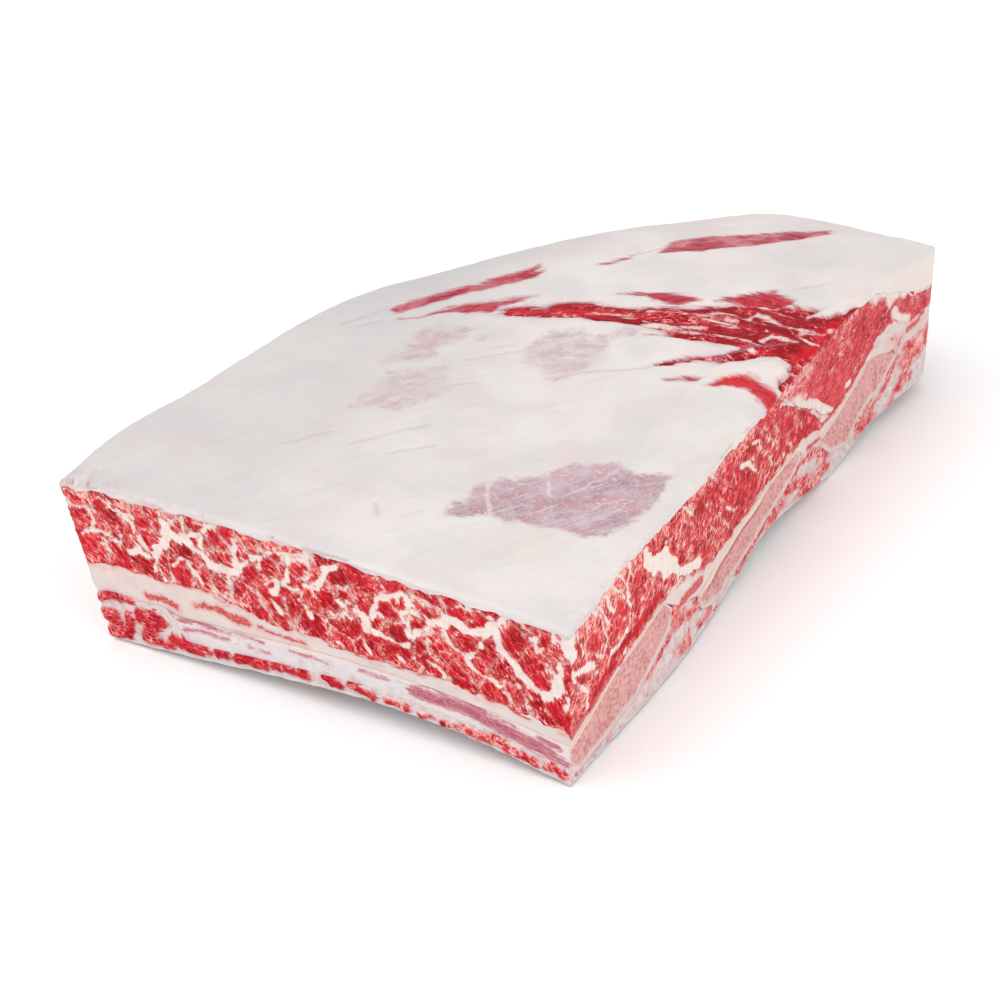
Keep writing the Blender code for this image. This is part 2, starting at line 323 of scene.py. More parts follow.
def coarseSkin(ids, name, spans, spacing):  # a few loose points inside the side's own border
    grid = sideIndex(ids, name)
    first, second, turnedOver = sides[name][2:]
    countA, countB = grid.shape[0] - 1, grid.shape[1] - 1
    loop = [(i, 0) for i in range(countA)] + [(countA, j) for j in range(countB)]
    loop += [(i, countB) for i in range(countA, 0, -1)] + [(0, j) for j in range(countB, 0, -1)]
    lengthA, lengthB = spans[first], spans[second]
    points = [(i / countA * lengthA, j / countB * lengthB) for i, j in loop]
    insideA, insideB = max(int(lengthA / spacing), 1), max(int(lengthB / spacing), 1)
    for i in range(insideA):
        for j in range(insideB):
            points.append(((i + 0.5 + 0.2 * (j % 2)) / (insideA + 0.2) * lengthA,
                           (j + 0.5) / insideB * lengthB))
    made = geometry.delaunay_2d_cdt([Vector(p) for p in points], [], [list(range(len(loop)))], 1, 1e-5)
    places, sources = made[0], made[3]
    extra = np.array(points[len(loop):]).reshape(-1, 2) / (lengthA, lengthB)
    faces = []
    for face in made[2]:
        p, q, r = (places[k] for k in face)
        upright = (q - p).cross(r - p) > 0
        face = [sources[k][0] for k in face]
        faces.append(face if upright != turnedOver else face[::-1])
    return np.array([grid[i, j] for i, j in loop]), extra, np.array(faces, np.int64).reshape(-1, 3)


def blockMesh(settings, place):
    counts, fine = np.array(settings["rows"]), settings["fine"]
    needed = np.zeros(counts + 1, bool)
    for name, (fixed, end, first, second, turnedOver) in sides.items():
        window = [slice(None)] * 3
        window[fixed] = -1 if end else 0
        if name in fine:
            needed[tuple(window)] = True
            continue
        for running in (first, second):
            for edge in (0, -1):
                line = list(window)
                line[running] = edge
                needed[tuple(line)] = True
    ids = np.full(counts + 1, -1, np.int64)
    ids[needed] = np.arange(needed.sum())
    shares = np.argwhere(needed) / counts
    polygons, tags, touching = [], [], {}
    for number, (name, (fixed, end, first, second, turnedOver)) in enumerate(sides.items()):
        if name in fine:
            grid = sideIndex(ids, name)
            quads = np.stack([grid[:-1, :-1], grid[1:, :-1], grid[1:, 1:], grid[:-1, 1:]], axis=2)
            faces = quads.reshape(-1, 4)
            faces = faces[:, ::-1] if turnedOver else faces
            touching[name] = grid.ravel()
        else:
            loopIds, extra, skin = coarseSkin(ids, name, settings["spans"], settings["spacing"])
            added = np.zeros((len(extra), 3))
            added[:, first], added[:, second], added[:, fixed] = extra[:, 0], extra[:, 1], float(end)
            touching[name] = np.concatenate([loopIds, np.arange(len(extra)) + len(shares)])
            shares = np.concatenate([shares, added])
            faces = touching[name][skin]
        polygons += faces.tolist()
        tags += [number] * len(faces)
    return shares, np.stack(place(*shares.T), axis=1), polygons, np.array(tags), touching


def grainOver(side, flat, settings):  # the pattern's own coordinates in mm: along the fibres, across, depth
    x, y, z = flat.T
    number = sideNames.index(side)
    if side in ("top", "bottom"):
        a, b = arcOver(x, y, settings.get("fibreCentre", slab["fibreCentre"]),
                       settings.get("fibreRadius", slab["fibreRadius"]))
    else:
        angle = math.radians(settings.get("fibreAngle", {}).get(side, 0.0))
        a, b = turned(y if side in ("left", "right") else x, z, angle)
    sway = settings.get("fibreSway", 1.4)
    swayed = flat + number * 37.0  # so that no two sides sway alike
    a = a + sway * softNoise(swayed, (13, 13, 13), 21)
    b = b + sway * softNoise(swayed, (13, 13, 13), 22) + 0.4 * sway * softNoise(swayed, (4.5, 4.5, 4.5), 23)
    return np.stack([a, b, np.full(len(a), number * 40.0)], axis=1)


def store(mesh, key, domain, values):
    kind, field = ("FLOAT_VECTOR", "vector") if values.ndim == 2 else ("FLOAT", "value")
    mesh.attributes.new(key, kind, domain).data.foreach_set(field, values.astype(np.float32).ravel())


def makePiece(name, settings, place, surface, look, node):
    shares, flat, polygons, tags, touching = blockMesh(settings, place)
    fields = {key: np.zeros(len(flat)) for key in ("tissue", "pale", "tone", "veil", "mark")}
    weight = np.zeros(len(flat))
    push = np.zeros((len(flat), 3))
    grains = {}
    for side, vertices in touching.items():
        found = {**settings.get("plain", {}), **surface(side, flat[vertices], shares[vertices])}
        grains[side] = np.zeros((len(flat), 3))
        own = found["grain"] if "grain" in found else grainOver(side, flat[vertices], settings)
        grains[side][vertices] = own
        strength = 1.0 if side in settings["fine"] else 1e-3
        weight[vertices] += strength
        for key, field in fields.items():
            field[vertices] += strength * found.get(key, 0.0)
        if side in settings["fine"]:
            fixed, end = sides[side][:2]
            push[vertices, fixed] += (2 * end - 1) * found.get("lift", 0.0)
    mesh = bpy.data.meshes.new(name)
    mesh.from_pydata(bend(flat + push).tolist(), [], polygons)
    mesh.update()
    for key, field in fields.items():
        store(mesh, key, "POINT", field / weight)
    store(mesh, "rest", "POINT", flat)
    calm = np.ones(len(flat))  # the relief dies away towards the neighbours below and above
    for side, away in (("bottom", shares[:, 2]), ("top", 1.0 - shares[:, 2])):
        if side not in settings.get("openSides", ()):
            calm = np.minimum(calm, np.clip(away * settings["rows"][2] / 2.0, 0.0, 1.0))
    store(mesh, "give", "POINT", calm)
    corners = np.zeros(len(mesh.loops), np.int32)
    mesh.loops.foreach_get("vertex_index", corners)
    cornerCounts = np.zeros(len(mesh.polygons), np.int32)
    mesh.polygons.foreach_get("loop_total", cornerCounts)
    cornerTags = np.repeat(tags, cornerCounts)
    grain = np.zeros((len(corners), 3))
    for number, side in enumerate(sideNames):
        chosen = cornerTags == number
        grain[chosen] = grains[side][corners[chosen]]
    store(mesh, "grain", "CORNER", grain)
    mesh.shade_smooth()
    piece = bpy.data.objects.new(name, mesh)
    bpy.context.scene.collection.objects.link(piece)
    reliefOver(piece, settings, materials[look])
    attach(piece, "root")
    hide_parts(node)
    print("made", name, len(piece.data.polygons), "faces")


def treeNode(tree, kind, settings, values, output=0):
    node = tree.nodes.new(kind)
    for key, value in settings.items():
        setattr(node, key, value)
    for key, value in values.items():
        if isinstance(value, bpy.types.NodeSocket):
            tree.links.new(value, node.inputs[key])
        else:
            node.inputs[key].default_value = value
    return node.outputs[output]


def makeReliefTree():  # Geometry Nodes: lumps and pits along the normals, still where pieces meet
    tree = bpy.data.node_groups.new("surfaceRelief", "GeometryNodeTree")
    tree.is_modifier = True
    tree.interface.new_socket("Geometry", in_out="INPUT", socket_type="NodeSocketGeometry")
    for label, value in (("Lump size", 5.0), ("Lump depth", 0.1), ("Pit size", 1.4), ("Pit depth", 0.05)):
        tree.interface.new_socket(label, in_out="INPUT", socket_type="NodeSocketFloat").default_value = value
    tree.interface.new_socket("Material", in_out="INPUT", socket_type="NodeSocketMaterial")
    tree.interface.new_socket("Geometry", in_out="OUTPUT", socket_type="NodeSocketGeometry")
    given = tree.nodes.new("NodeGroupInput").outputs

    def read(name, kind):
        return treeNode(tree, "GeometryNodeInputNamedAttribute", {"data_type": kind}, {"Name": name})

    def maths(operation, first, second):
        return treeNode(tree, "ShaderNodeMath", {"operation": operation}, {0: first, 1: second})
    rest, give = read("rest", "FLOAT_VECTOR"), read("give", "FLOAT")
    depths = []
    for kind in ("Lump", "Pit"):
        noise = treeNode(tree, "ShaderNodeTexNoise", {}, {
            "Vector": rest, "Scale": maths("DIVIDE", 1.0, given[kind + " size"]),
            "Detail": 2.0, "Roughness": 0.5})
        depths.append(maths("MULTIPLY", maths("SUBTRACT", noise, 0.5), given[kind + " depth"]))
    metres = maths("MULTIPLY", maths("MULTIPLY", maths("ADD", *depths), give), 2.0 * mm)
    normal = treeNode(tree, "GeometryNodeInputNormal", {}, {})
    offset = treeNode(tree, "ShaderNodeVectorMath", {"operation": "SCALE"}, {0: normal, "Scale": metres})
    moved = treeNode(tree, "GeometryNodeSetPosition", {}, {"Geometry": given["Geometry"], "Offset": offset})
    whole = treeNode(tree, "GeometryNodeRealizeInstances", {}, {"Geometry": moved})
    dressed = treeNode(tree, "GeometryNodeSetMaterial", {},
                       {"Geometry": whole, "Material": given["Material"]})
    tree.links.new(dressed, tree.nodes.new("NodeGroupOutput").inputs[0])
    return tree


reliefTree = makeReliefTree()


def reliefOver(piece, settings, material):  # runs the tree and keeps its result as a plain mesh
    values = dict(zip(("Lump size", "Lump depth", "Pit size", "Pit depth"),
                      settings["lumps"] + settings["pits"]), Material=material)
    modifier = piece.modifiers.new(reliefTree.name, "NODES")
    modifier.node_group = reliefTree
    for item in reliefTree.interface.items_tree:
        if item.in_out == "INPUT" and item.name in values:
            modifier[item.identifier] = values[item.name]
    graph = bpy.context.evaluated_depsgraph_get()
    made = bpy.data.meshes.new_from_object(piece.evaluated_get(graph), depsgraph=graph)
    piece.modifiers.remove(modifier)
    old = piece.data
    piece.data = made
    bpy.data.meshes.remove(old)
    made.name = piece.name


# Shader maths: a wrapped socket adds its own Math nodes.
def mathsNode(operation, reflected=False):
    def apply(self, other):
        first, second = (other, self) if reflected else (self, other)
        return self.recipe.node("ShaderNodeMath", {"operation": operation}, {0: first, 1: second})
    return apply


class Paint:
    def __init__(self, recipe, socket):
        self.recipe = recipe
        self.socket = socket

    __add__, __radd__ = mathsNode("ADD"), mathsNode("ADD", True)
    __sub__, __rsub__ = mathsNode("SUBTRACT"), mathsNode("SUBTRACT", True)
    __mul__, __rmul__ = mathsNode("MULTIPLY"), mathsNode("MULTIPLY", True)
    above, below = mathsNode("MAXIMUM"), mathsNode("MINIMUM")

    def ease(self, low, high):
        return self.recipe.node("ShaderNodeMapRange", {"interpolation_type": "SMOOTHSTEP"},
                                {"Value": self, "From Min": low, "From Max": high})


def linear(colour):  # a colour from 0 to 255 as the shader wants it
    share = np.array(colour, float) / 255.0
    low = share / 12.92
    high = ((share + 0.055) / 1.055) ** 2.4
    return (*np.where(share <= 0.04045, low, high).tolist(), 1.0)


class Recipe:
    def __init__(self, name):
        self.material = bpy.data.materials.new(name)
        self.material.use_nodes = True
        self.tree = self.material.node_tree
        self.tree.nodes.clear()
        self.shader = self.tree.nodes.new("ShaderNodeBsdfPrincipled")
        output = self.tree.nodes.new("ShaderNodeOutputMaterial")
        self.tree.links.new(self.shader.outputs[0], output.inputs[0])

    def put(self, node, values):
        for key, value in values.items():
            if isinstance(value, Paint):
                self.tree.links.new(value.socket, node.inputs[key])
            else:
                node.inputs[key].default_value = value

    def node(self, kind, settings, values, output=0):
        made = self.tree.nodes.new(kind)
        for key, value in settings.items():
            if key == "stops":
                ramp = made.color_ramp
                while len(ramp.elements) < len(value):
                    ramp.elements.new(0.5)
                for element, (position, colour) in zip(ramp.elements, value):
                    element.position = position
                    element.color = linear(colour)
            else:
                setattr(made, key, value)
        self.put(made, values)
        return Paint(self, made.outputs[output])

    def read(self, *names, output=2):  # an attribute's number; output 1 is its vector
        return [self.node("ShaderNodeAttribute", {"attribute_name": name}, {}, output) for name in names]

    def scaled(self, vector, scale):
        return self.node("ShaderNodeVectorMath", {"operation": "MULTIPLY"}, {0: vector, 1: scale})

    def sized(self, vector, size):  # coordinates for a pattern of that size in mm
        sizes = size if isinstance(size, tuple) else (size,) * 3
        return self.scaled(vector, tuple(1.0 / side for side in sizes))

    def noise(self, vector, size, detail=2.0, roughness=0.5):
        return self.node("ShaderNodeTexNoise", {}, {"Vector": self.sized(vector, size), "Scale": 1.0,
                                                    "Detail": detail, "Roughness": roughness})

    def cells(self, vector, size, feature="F1", output=0):
        return self.node("ShaderNodeTexVoronoi", {"feature": feature},
                         {"Vector": self.sized(vector, size), "Scale": 1.0}, output)

    def ramp(self, value, stops):
        return self.node("ShaderNodeValToRGB", {"stops": stops}, {"Fac": value})

    def blend(self, share, first, second):
        first, second = (value if isinstance(value, Paint) else linear(value) for value in (first, second))
        return self.node("ShaderNodeMix", {"data_type": "RGBA"}, {0: share, 6: first, 7: second}, 2)

    def layered(self, colour, *layers):  # each layer is (share, the colour laid over what is there)
        for share, over in layers:
            colour = self.blend(share, colour, over)
        return colour

    def finish(self, colour, roughness, height, skin):
        normal = self.node("ShaderNodeBump", {}, {"Height": height, "Strength": skin["bump"],
                                                  "Distance": skin["bumpDepth"] * mm})
        self.put(self.shader, {
            "Base Color": colour, "Roughness": roughness, "Normal": normal,
            "Specular IOR Level": skin["shine"], "Subsurface Weight": skin["glow"],
            "Subsurface Radius": skin["glowColours"], "Subsurface Scale": skin["glowDepth"] * mm})
        return self.material


meatLooks = {
    "muscle": {"reds": [(0.0, (130, 0, 12)), (0.35, (176, 4, 24)), (0.65, (207, 22, 38)),
                        (1.0, (226, 86, 86))],
               "lines": [(0.0, (190, 14, 32)), (0.35, (216, 84, 86)), (0.7, (234, 160, 150)),
                         (1.0, (236, 208, 194))],
               "fat": (232, 217, 209), "fatShade": (218, 202, 196), "rim": (222, 122, 118),
               "strand": (3.3, 1.25, 2.0), "soft": 0.08, "gate": -0.05, "depth": 1.6},
    "deckle": {"reds": [(0.0, (142, 8, 24)), (0.35, (186, 36, 50)), (0.65, (210, 68, 76)),
                        (1.0, (228, 114, 114))],
               "lines": [(0.0, (188, 24, 42)), (0.35, (208, 90, 94)), (0.7, (226, 148, 144)),
                         (1.0, (228, 200, 192))],
               "fat": (226, 212, 206), "fatShade": (212, 186, 182), "rim": (208, 120, 120),
               "strand": (6.0, 1.3, 2.0), "soft": 0.5, "gate": -0.02, "depth": 1.1},
    "ribMeat": {"reds": [(0.0, (136, 0, 18)), (0.35, (182, 14, 32)), (0.7, (206, 46, 56)),
                         (1.0, (222, 98, 98))],
                "lines": [(0.0, (184, 20, 36)), (0.35, (208, 88, 92)), (0.7, (226, 152, 146)),
                          (1.0, (226, 204, 196))],
                "fat": (216, 203, 200), "fatShade": (198, 172, 172), "rim": (208, 118, 120),
                "strand": (2.6, 1.3, 2.0), "soft": 0.2, "gate": -0.02, "depth": 1.7},
    "skin": {"bump": 0.6, "bumpDepth": 0.4, "shine": 0.13, "glow": 0.03, "glowDepth": 0.5,
             "glowColours": (1.0, 0.3, 0.25)},
}


def meatMaterial(name, looks):
    recipe = Recipe(name)
    rest, grain = recipe.read("rest", "grain", output=1)
    tissue, pale, tone, veil, mark = recipe.read("tissue", "pale", "tone", "veil", "mark")
    sway = recipe.node("ShaderNodeTexNoise", {}, {"Vector": recipe.scaled(grain, (0.45, 0.45, 0.45)),
                                                  "Scale": 1.0, "Detail": 3.0}, 1)
    swayed = recipe.node("ShaderNodeVectorMath", {"operation": "MULTIPLY_ADD"},
                         {0: sway, 1: (2.2, 1.6, 0.0), 2: grain})
    strandEdge = recipe.cells(swayed, looks["strand"], "DISTANCE_TO_EDGE")
    strandTone = recipe.node("ShaderNodeSeparateColor", {},
                             {"Color": recipe.cells(swayed, looks["strand"], "F1", 1)}) - 0.5
    fine = recipe.noise(swayed, (2.3, 0.55, 1.0), 3.0, 0.66)
    chips = recipe.noise(swayed, (2.1, 0.95, 1.0), 2.0, 0.55)
    mottle = recipe.noise(rest, 4.6) - 0.5
    gate = recipe.noise(rest, 5.5, 4.0, 0.68) - 0.5
    grit = recipe.noise(rest, 0.6, 2.0, 0.6)
    redness = 0.42 + strandTone * 0.35 + mottle * 0.7 + tone * 0.5
    redness = redness + (fine - 0.5) * looks["depth"] * 0.5 + (chips - 0.5) * looks["depth"] * 1.1
    width = gate * 0.8 + pale * 0.13 + looks["gate"]
    lines = 1.0 - (strandEdge - width).ease(-0.12, 0.18)
    flecks = (chips * 0.75 + fine * 0.25 + gate * 0.35 + pale * 0.07).ease(0.55, 0.685)
    paleness = (lines * 0.85).above(flecks * 0.88)
    ragged = tissue + (recipe.noise(rest, 1.2, 3.0, 0.6) - 0.5) * 0.9 + (fine - 0.5) * 2.2 + strandTone * 0.35
    fatMask = ragged.ease(-0.1 - looks["soft"], 0.22 + looks["soft"])
    fatTone = (recipe.noise(rest, 2.4, 3.0, 0.6) * 0.7 + fine * 0.3 + pale * 0.04).ease(0.4, 0.66)
    fat = recipe.layered(looks["fat"], (fatTone, looks["fatShade"]),
                         (grit.ease(0.6, 0.74) * 0.2, (206, 150, 142)))
    bright = (mark + (fine - 0.5) * 3.0 + mottle * 3.0).ease(-0.6, 1.6)
    bright = bright * (1.0 - fatMask) * (1.0 - paleness * 0.6)
    haze = (veil + (fine - 0.5) * 2.6 + mottle * 1.4).ease(-1.2, 1.2)
    colour = recipe.layered(
        recipe.ramp(redness, looks["reds"]),
        (paleness.ease(0.0, 0.3), recipe.ramp(paleness, looks["lines"])),
        (ragged.ease(-0.7, -0.02) * 0.5, looks["rim"]),
        (fatMask, fat),
        (bright * 0.75, (206, 14, 30)),
        (haze * 0.75, recipe.blend(fine.ease(0.36, 0.6), (136, 34, 66), (188, 124, 150))))
    height = (fine * 0.5 + strandEdge.below(0.3) * 1.2) * (1.0 - fatMask * 0.75) + grit * 0.2 + fatMask * 0.2
    return recipe.finish(colour, 0.42 + grit * 0.16 - fatMask * 0.04, height, meatLooks["skin"])


fatLooks = {
    "cap": {"white": (219, 212, 209), "warm": (224, 208, 199), "cool": (209, 203, 202),
            # far: the colour of the painted shade where the top turns away from the light at the far left
            "pink": (216, 192, 188), "groove": (192, 176, 178), "far": (191, 187, 188),
            "veil": (190, 164, 170), "veilDark": (166, 126, 138), "veilPale": (210, 196, 201),
            "red": (146, 10, 34), "redPale": (194, 44, 60),
            "skin": {"bump": 0.35, "bumpDepth": 0.4, "shine": 0.3, "glow": 0.1, "glowDepth": 1.0,
                     "glowColours": (1.0, 0.7, 0.6)}},
    "seam": {"white": (216, 205, 200), "warm": (216, 194, 186), "cool": (200, 192, 192),
             "red": (184, 34, 42), "redPale": (208, 118, 114), "gloss": 0.4},
    "lining": {"white": (210, 205, 206), "warm": (206, 190, 188), "cool": (194, 190, 196),
               "red": (176, 62, 70), "redPale": (200, 142, 144), "gloss": 0.34},
    "skin": {"bump": 0.4, "bumpDepth": 0.35, "shine": 0.3, "glow": 0.08, "glowDepth": 0.8,
             "glowColours": (1.0, 0.6, 0.5)},
}


def capMaterial():
    looks = fatLooks["cap"]
    recipe = Recipe("whiteFat")
    rest, grain = recipe.read("rest", "grain", output=1)
    veil, strength = recipe.read("veil", "pale")  # mm inside a thin purple patch, and how dark it is
    tissue, far, mark = recipe.read("tissue", "tone", "mark")  # tissue: mm inside an opening; far: painted shade towards the far left, and below zero a cream tint
    turning = recipe.node("ShaderNodeMapping", {},
                          {"Vector": rest, "Rotation": (0.0, 0.0, -math.radians(60))})
    clouds = recipe.noise(rest, 30.0, 3.0, 0.55).ease(0.36, 0.66)
    blush = recipe.noise(rest, 17.0, 4.0, 0.62).ease(0.5, 0.74)
    rosy = recipe.noise(recipe.scaled(rest, (1.0, 0.8, 1.0)), 26.0, 3.0, 0.6).ease(0.5, 0.72)
    streaks = recipe.noise(turning, (24.0, 2.2, 4.0), 4.0, 0.62)
    fine = recipe.noise(turning, (6.0, 0.55, 2.0), 3.0, 0.62)
    fibre = recipe.noise(grain, (9.0, 0.7, 2.0), 3.0, 0.65)
    wisps = recipe.noise(grain, (17.0, 1.7, 2.0), 3.0, 0.6)
    lumpy = recipe.noise(rest, 4.5, 4.0, 0.7)
    grit = recipe.noise(rest, 0.9, 3.0, 0.6)
    wide = recipe.noise(rest, 9.0)
    creased = (mark + (fine - 0.5) * 1.5).ease(-0.8, 0.7)
    white = recipe.layered(
        looks["white"], (clouds, looks["cool"]), (blush * 0.5, looks["warm"]), (rosy * 0.4, looks["pink"]),
        (streaks.ease(0.56, 0.76) * 0.26, looks["groove"]),
        (streaks.ease(0.3, 0.42) * -0.25 + 0.25, (226, 221, 218)),
        # painted shade: greyer towards the far left and back; below zero a cream tint instead
        ((far * (0.7 + streaks * 0.6)).above(0.0), looks["far"]),
        ((far * -1.0).above(0.0), (224, 212, 200)),
        (creased * 0.4, (190, 156, 160)))
    spots = (recipe.noise(rest, 1.5, 3.0, 0.62) * 0.65 + wide * 0.35).ease(0.58, 0.66)
    dimples = recipe.noise(turning, (2.2, 1.0, 1.0), 3.0, 0.7).ease(0.55, 0.68)
    veilColour = recipe.layered(
        looks["veil"], ((fine * 0.35 + grit * 0.4 + lumpy * 0.25).ease(0.42, 0.6), looks["veilDark"]),
        (streaks.ease(0.54, 0.62) * 0.45, looks["veilPale"]),
        (wide.ease(0.5, 0.66) * 0.6, (188, 130, 140)),
        (spots * ((strength - 0.55) * 1.6).above(0.0), (228, 216, 220)),
        (dimples * 0.5, (146, 108, 122)), (clouds * 0.5, (208, 190, 196)), (creased * 0.7, (222, 212, 215)))
    ragged = veil + (lumpy - 0.5) * 7.0 + (fine - 0.5) * 1.6
    veilMask = (ragged * (strength * 0.3 + 0.3)).ease(-1.0, 1.1)
    feathered = tissue + (fibre - 0.5) * 3.0 + (wisps - 0.5) * 5.0 + (grit - 0.5) * 0.6
    streaky = (wisps * 0.5 + fibre * 0.35 + lumpy * 0.15).ease(0.42, 0.57)
    dusty = recipe.noise(rest, 11.0).ease(0.46, 0.6) * tissue.ease(-0.4, 1.0)
    flaked = (recipe.noise(grain, (5.0, 1.4, 2.0), 3.0, 0.65) * 0.8 + grit * 0.2).ease(0.55, 0.64)
    rim = 1.0 - (tissue + (fibre - 0.5) * 2.0).ease(-0.4, 1.3)
    red = recipe.layered(
        looks["red"], (streaky, recipe.blend(strength, looks["redPale"], (188, 84, 98))),
        (dusty * (strength * 0.9 + 0.1), (202, 122, 132)), (rim * 0.7, (130, 18, 42)),
        (flaked * (strength * 0.5 + 0.2), (216, 156, 160)),
        ((1.0 - strength * 9.0).above(0.0) * (streaky * 0.7 + 0.2), (212, 32, 44)))
    colour = recipe.layered(
        white, (veilMask * (strength + (wisps - 0.5) * 1.1 + (lumpy - 0.5) * 0.9), veilColour),
        (feathered.ease(-2.4, 0.2) * 0.5, (204, 158, 162)), (feathered.ease(-1.3, 1.1), red))
    height = streaks * 0.7 + fine * 0.35 + grit * 0.3 - creased * 0.3 + veilMask * fine * 0.4
    return recipe.finish(colour, 0.46 + grit * 0.14 - veilMask * 0.08, height, looks["skin"])


def fatMaterial(name, looks):
    recipe = Recipe(name)
    rest, grain = recipe.read("rest", "grain", output=1)
    tissue, pale = recipe.read("tissue", "pale")
    clouds = recipe.noise(rest, 9.0, 3.0, 0.6).ease(0.36, 0.66)
    streaks = recipe.noise(grain, (12.0, 0.9, 2.0), 3.0, 0.62)
    fine = recipe.noise(grain, (3.0, 0.4, 1.0), 3.0, 0.65)
    grit = recipe.noise(rest, 0.7, 2.0, 0.6)
    ragged = tissue + (recipe.noise(rest, 1.3, 3.0, 0.65) - 0.5) * 2.4 + (fine - 0.5) * 1.0
    red = recipe.blend((fine * 0.6 + grit * 0.4).ease(0.42, 0.6), looks["red"], looks["redPale"])
    colour = recipe.layered(
        looks["white"], (clouds, looks["warm"]),
        ((streaks.ease(0.5, 0.66) * 0.6).above(pale * 0.8), looks["cool"]),
        (ragged.ease(-1.6, 0.0) * 0.4, looks["redPale"]), (ragged.ease(-0.2, 0.3), red))
    height = streaks * 0.6 + fine * 0.4 + grit * 0.3
    return recipe.finish(colour, looks["gloss"] + grit * 0.18, height, fatLooks["skin"])


boneLooks = {"marrow": (204, 144, 140), "deep": (184, 110, 110), "light": (214, 172, 166),
             "rim": (224, 200, 186), "film": (208, 190, 187), "side": (212, 204, 206),
             "skin": {"bump": 0.45, "bumpDepth": 0.4, "shine": 0.3, "glow": 0.05, "glowDepth": 0.6,
                      "glowColours": (1.0, 0.5, 0.4)}}


def boneMaterial():
    recipe = Recipe("sawnBone")
    [rest] = recipe.read("rest", output=1)
    tissue, edge = recipe.read("tissue", "mark")  # mm inside the cut, mm below the bone's upper edge
    veil, pale, tone = recipe.read("veil", "pale", "tone")  # bluish side, grey film, red marrow
    sponge = recipe.noise(rest, (1.6, 1.6, 1.1), 3.0, 0.62)
    pores = recipe.cells(rest, 1.3, "F1")
    clouds = recipe.noise(rest, 5.0, 3.0, 0.6)
    grit = recipe.noise(rest, 0.4, 2.0, 0.6)
    streaks = recipe.noise(recipe.scaled(rest, (0.12, 1.0, 1.0)), 0.9, 3.0, 0.6)
    layers = edge + (sponge - 0.5) * 1.4
    cut = recipe.layered(
        boneLooks["deep"], ((sponge * 0.7 + clouds * 0.6 - 0.12).ease(0.36, 0.6), boneLooks["marrow"]),
        ((pores * 0.6 + sponge * 0.8 - 0.2).ease(0.36, 0.66) * 0.6, boneLooks["light"]),
        (grit.ease(0.62, 0.72) * (tissue * -0.05 + 0.5), (168, 60, 70)),
        ((tone - (layers - 3.0) * (layers - 3.0) * 1.4).ease(0.0, 0.7) * 0.7, (166, 74, 84)),
        (1.0 - (layers - tone * 1.4).ease(0.3, 1.3), boneLooks["rim"]),
        ((pale + (clouds - 0.5) * 0.9 + (sponge - 0.5) * 0.4).ease(0.3, 0.8), boneLooks["film"]))
    marks = tone + (sponge - 0.5) * 0.9 + (streaks - 0.5) * 1.3
    marrow = recipe.blend((sponge * 0.6 + grit * 0.4).ease(0.44, 0.58), (154, 60, 78), (192, 116, 128))
    side = recipe.layered(
        boneLooks["side"], (streaks.ease(0.42, 0.66), (222, 216, 214)),
        (clouds.ease(0.54, 0.7) * 0.6, (204, 176, 178)), (streaks.ease(0.6, 0.68) * 0.6, (178, 172, 182)),
        (1.0 - (layers + (clouds - 0.5) * 3.0).ease(0.6, 3.4), (226, 208, 200)),
        (marks.ease(0.16, 0.6) * 0.8, (200, 138, 148)), (marks.ease(0.32, 0.8) * 0.9, marrow))
    height = sponge * 0.6 + pores * 0.5 + grit * 0.2
    return recipe.finish(recipe.blend(veil, cut, side), 0.54 + grit * 0.16 - veil * 0.1, height,
                         boneLooks["skin"])


materials = {
    "muscle": meatMaterial("marbledMeat", meatLooks["muscle"]),
    "deckle": meatMaterial("deckleMeat", meatLooks["deckle"]),
    "ribMeat": meatMaterial("ribMeat", meatLooks["ribMeat"]),
    "cap": capMaterial(),
    "seam": fatMaterial("seamFat", fatLooks["seam"]),
    "lining": fatMaterial("pearlyLining", fatLooks["lining"]),
    "bone": boneMaterial(),
}
print("materials ready")


def meatBorder(x, y):  # ragged line between the big muscles and the seam fat
    return meatUnder(x, y) + 0.9 * flatNoise(x, y, 7.0, 31) + 0.6 * flatNoise(x, y, 2.1, 32)


def capBorder(x, y):  # ragged line where the white cap ends on the cut faces
    wobble = 1.1 * flatNoise(x, y, 8.0, 33) + 0.7 * flatNoise(x, y, 2.6, 34)
    return capUnder(x, y) + 0.4 + np.minimum(wobble, 0.5) - 0.8 * ease(y, 74.0, 88.0)


def tucked(shares, counts, amount):  # draws the outermost rows of a side wall in behind its neighbours
    rows = np.minimum(shares[:, 2], 1.0 - shares[:, 2]) * counts[2]
    return -amount * np.clip(1.0 - rows, 0.0, 1.0)


dividerLines = {"front": lineThrough([(0.0, 50.4), (0.485, 26.9), (1.0, 5.2)]),
                "back": lineThrough([(0.0, 57.6), (0.42, 32.6), (1.0, 8.8)])}


def divideFront(x, v):  # where the two big muscles part, from their undersides (v = 0) to the cap (v = 1)
    return dividerLines["front"](v) + 0.9 * flatNoise(x, v * 50.0, 9.0, 35)


def divideBack(x, v):
    return dividerLines["back"](v) + 0.9 * flatNoise(x, v * 50.0, 8.0, 36)


def bundled(a, b, edge, angles, seed):  # small lobes inside the big bundles, and their own fibre direction
    along, across = turned(a, b, angles)
    lobeEdge, lobeTone = cellsOver(along, across, (4.6, 2.2), seed)
    reach = 0.12 - 0.2 * edge + 0.46 * flatNoise(a, b, 5.0, seed + 1)
    grain = np.stack([along, across, np.full(len(a), seed * 1.0)], axis=1)
    return reach - lobeEdge, lobeEdge, lobeTone, grain


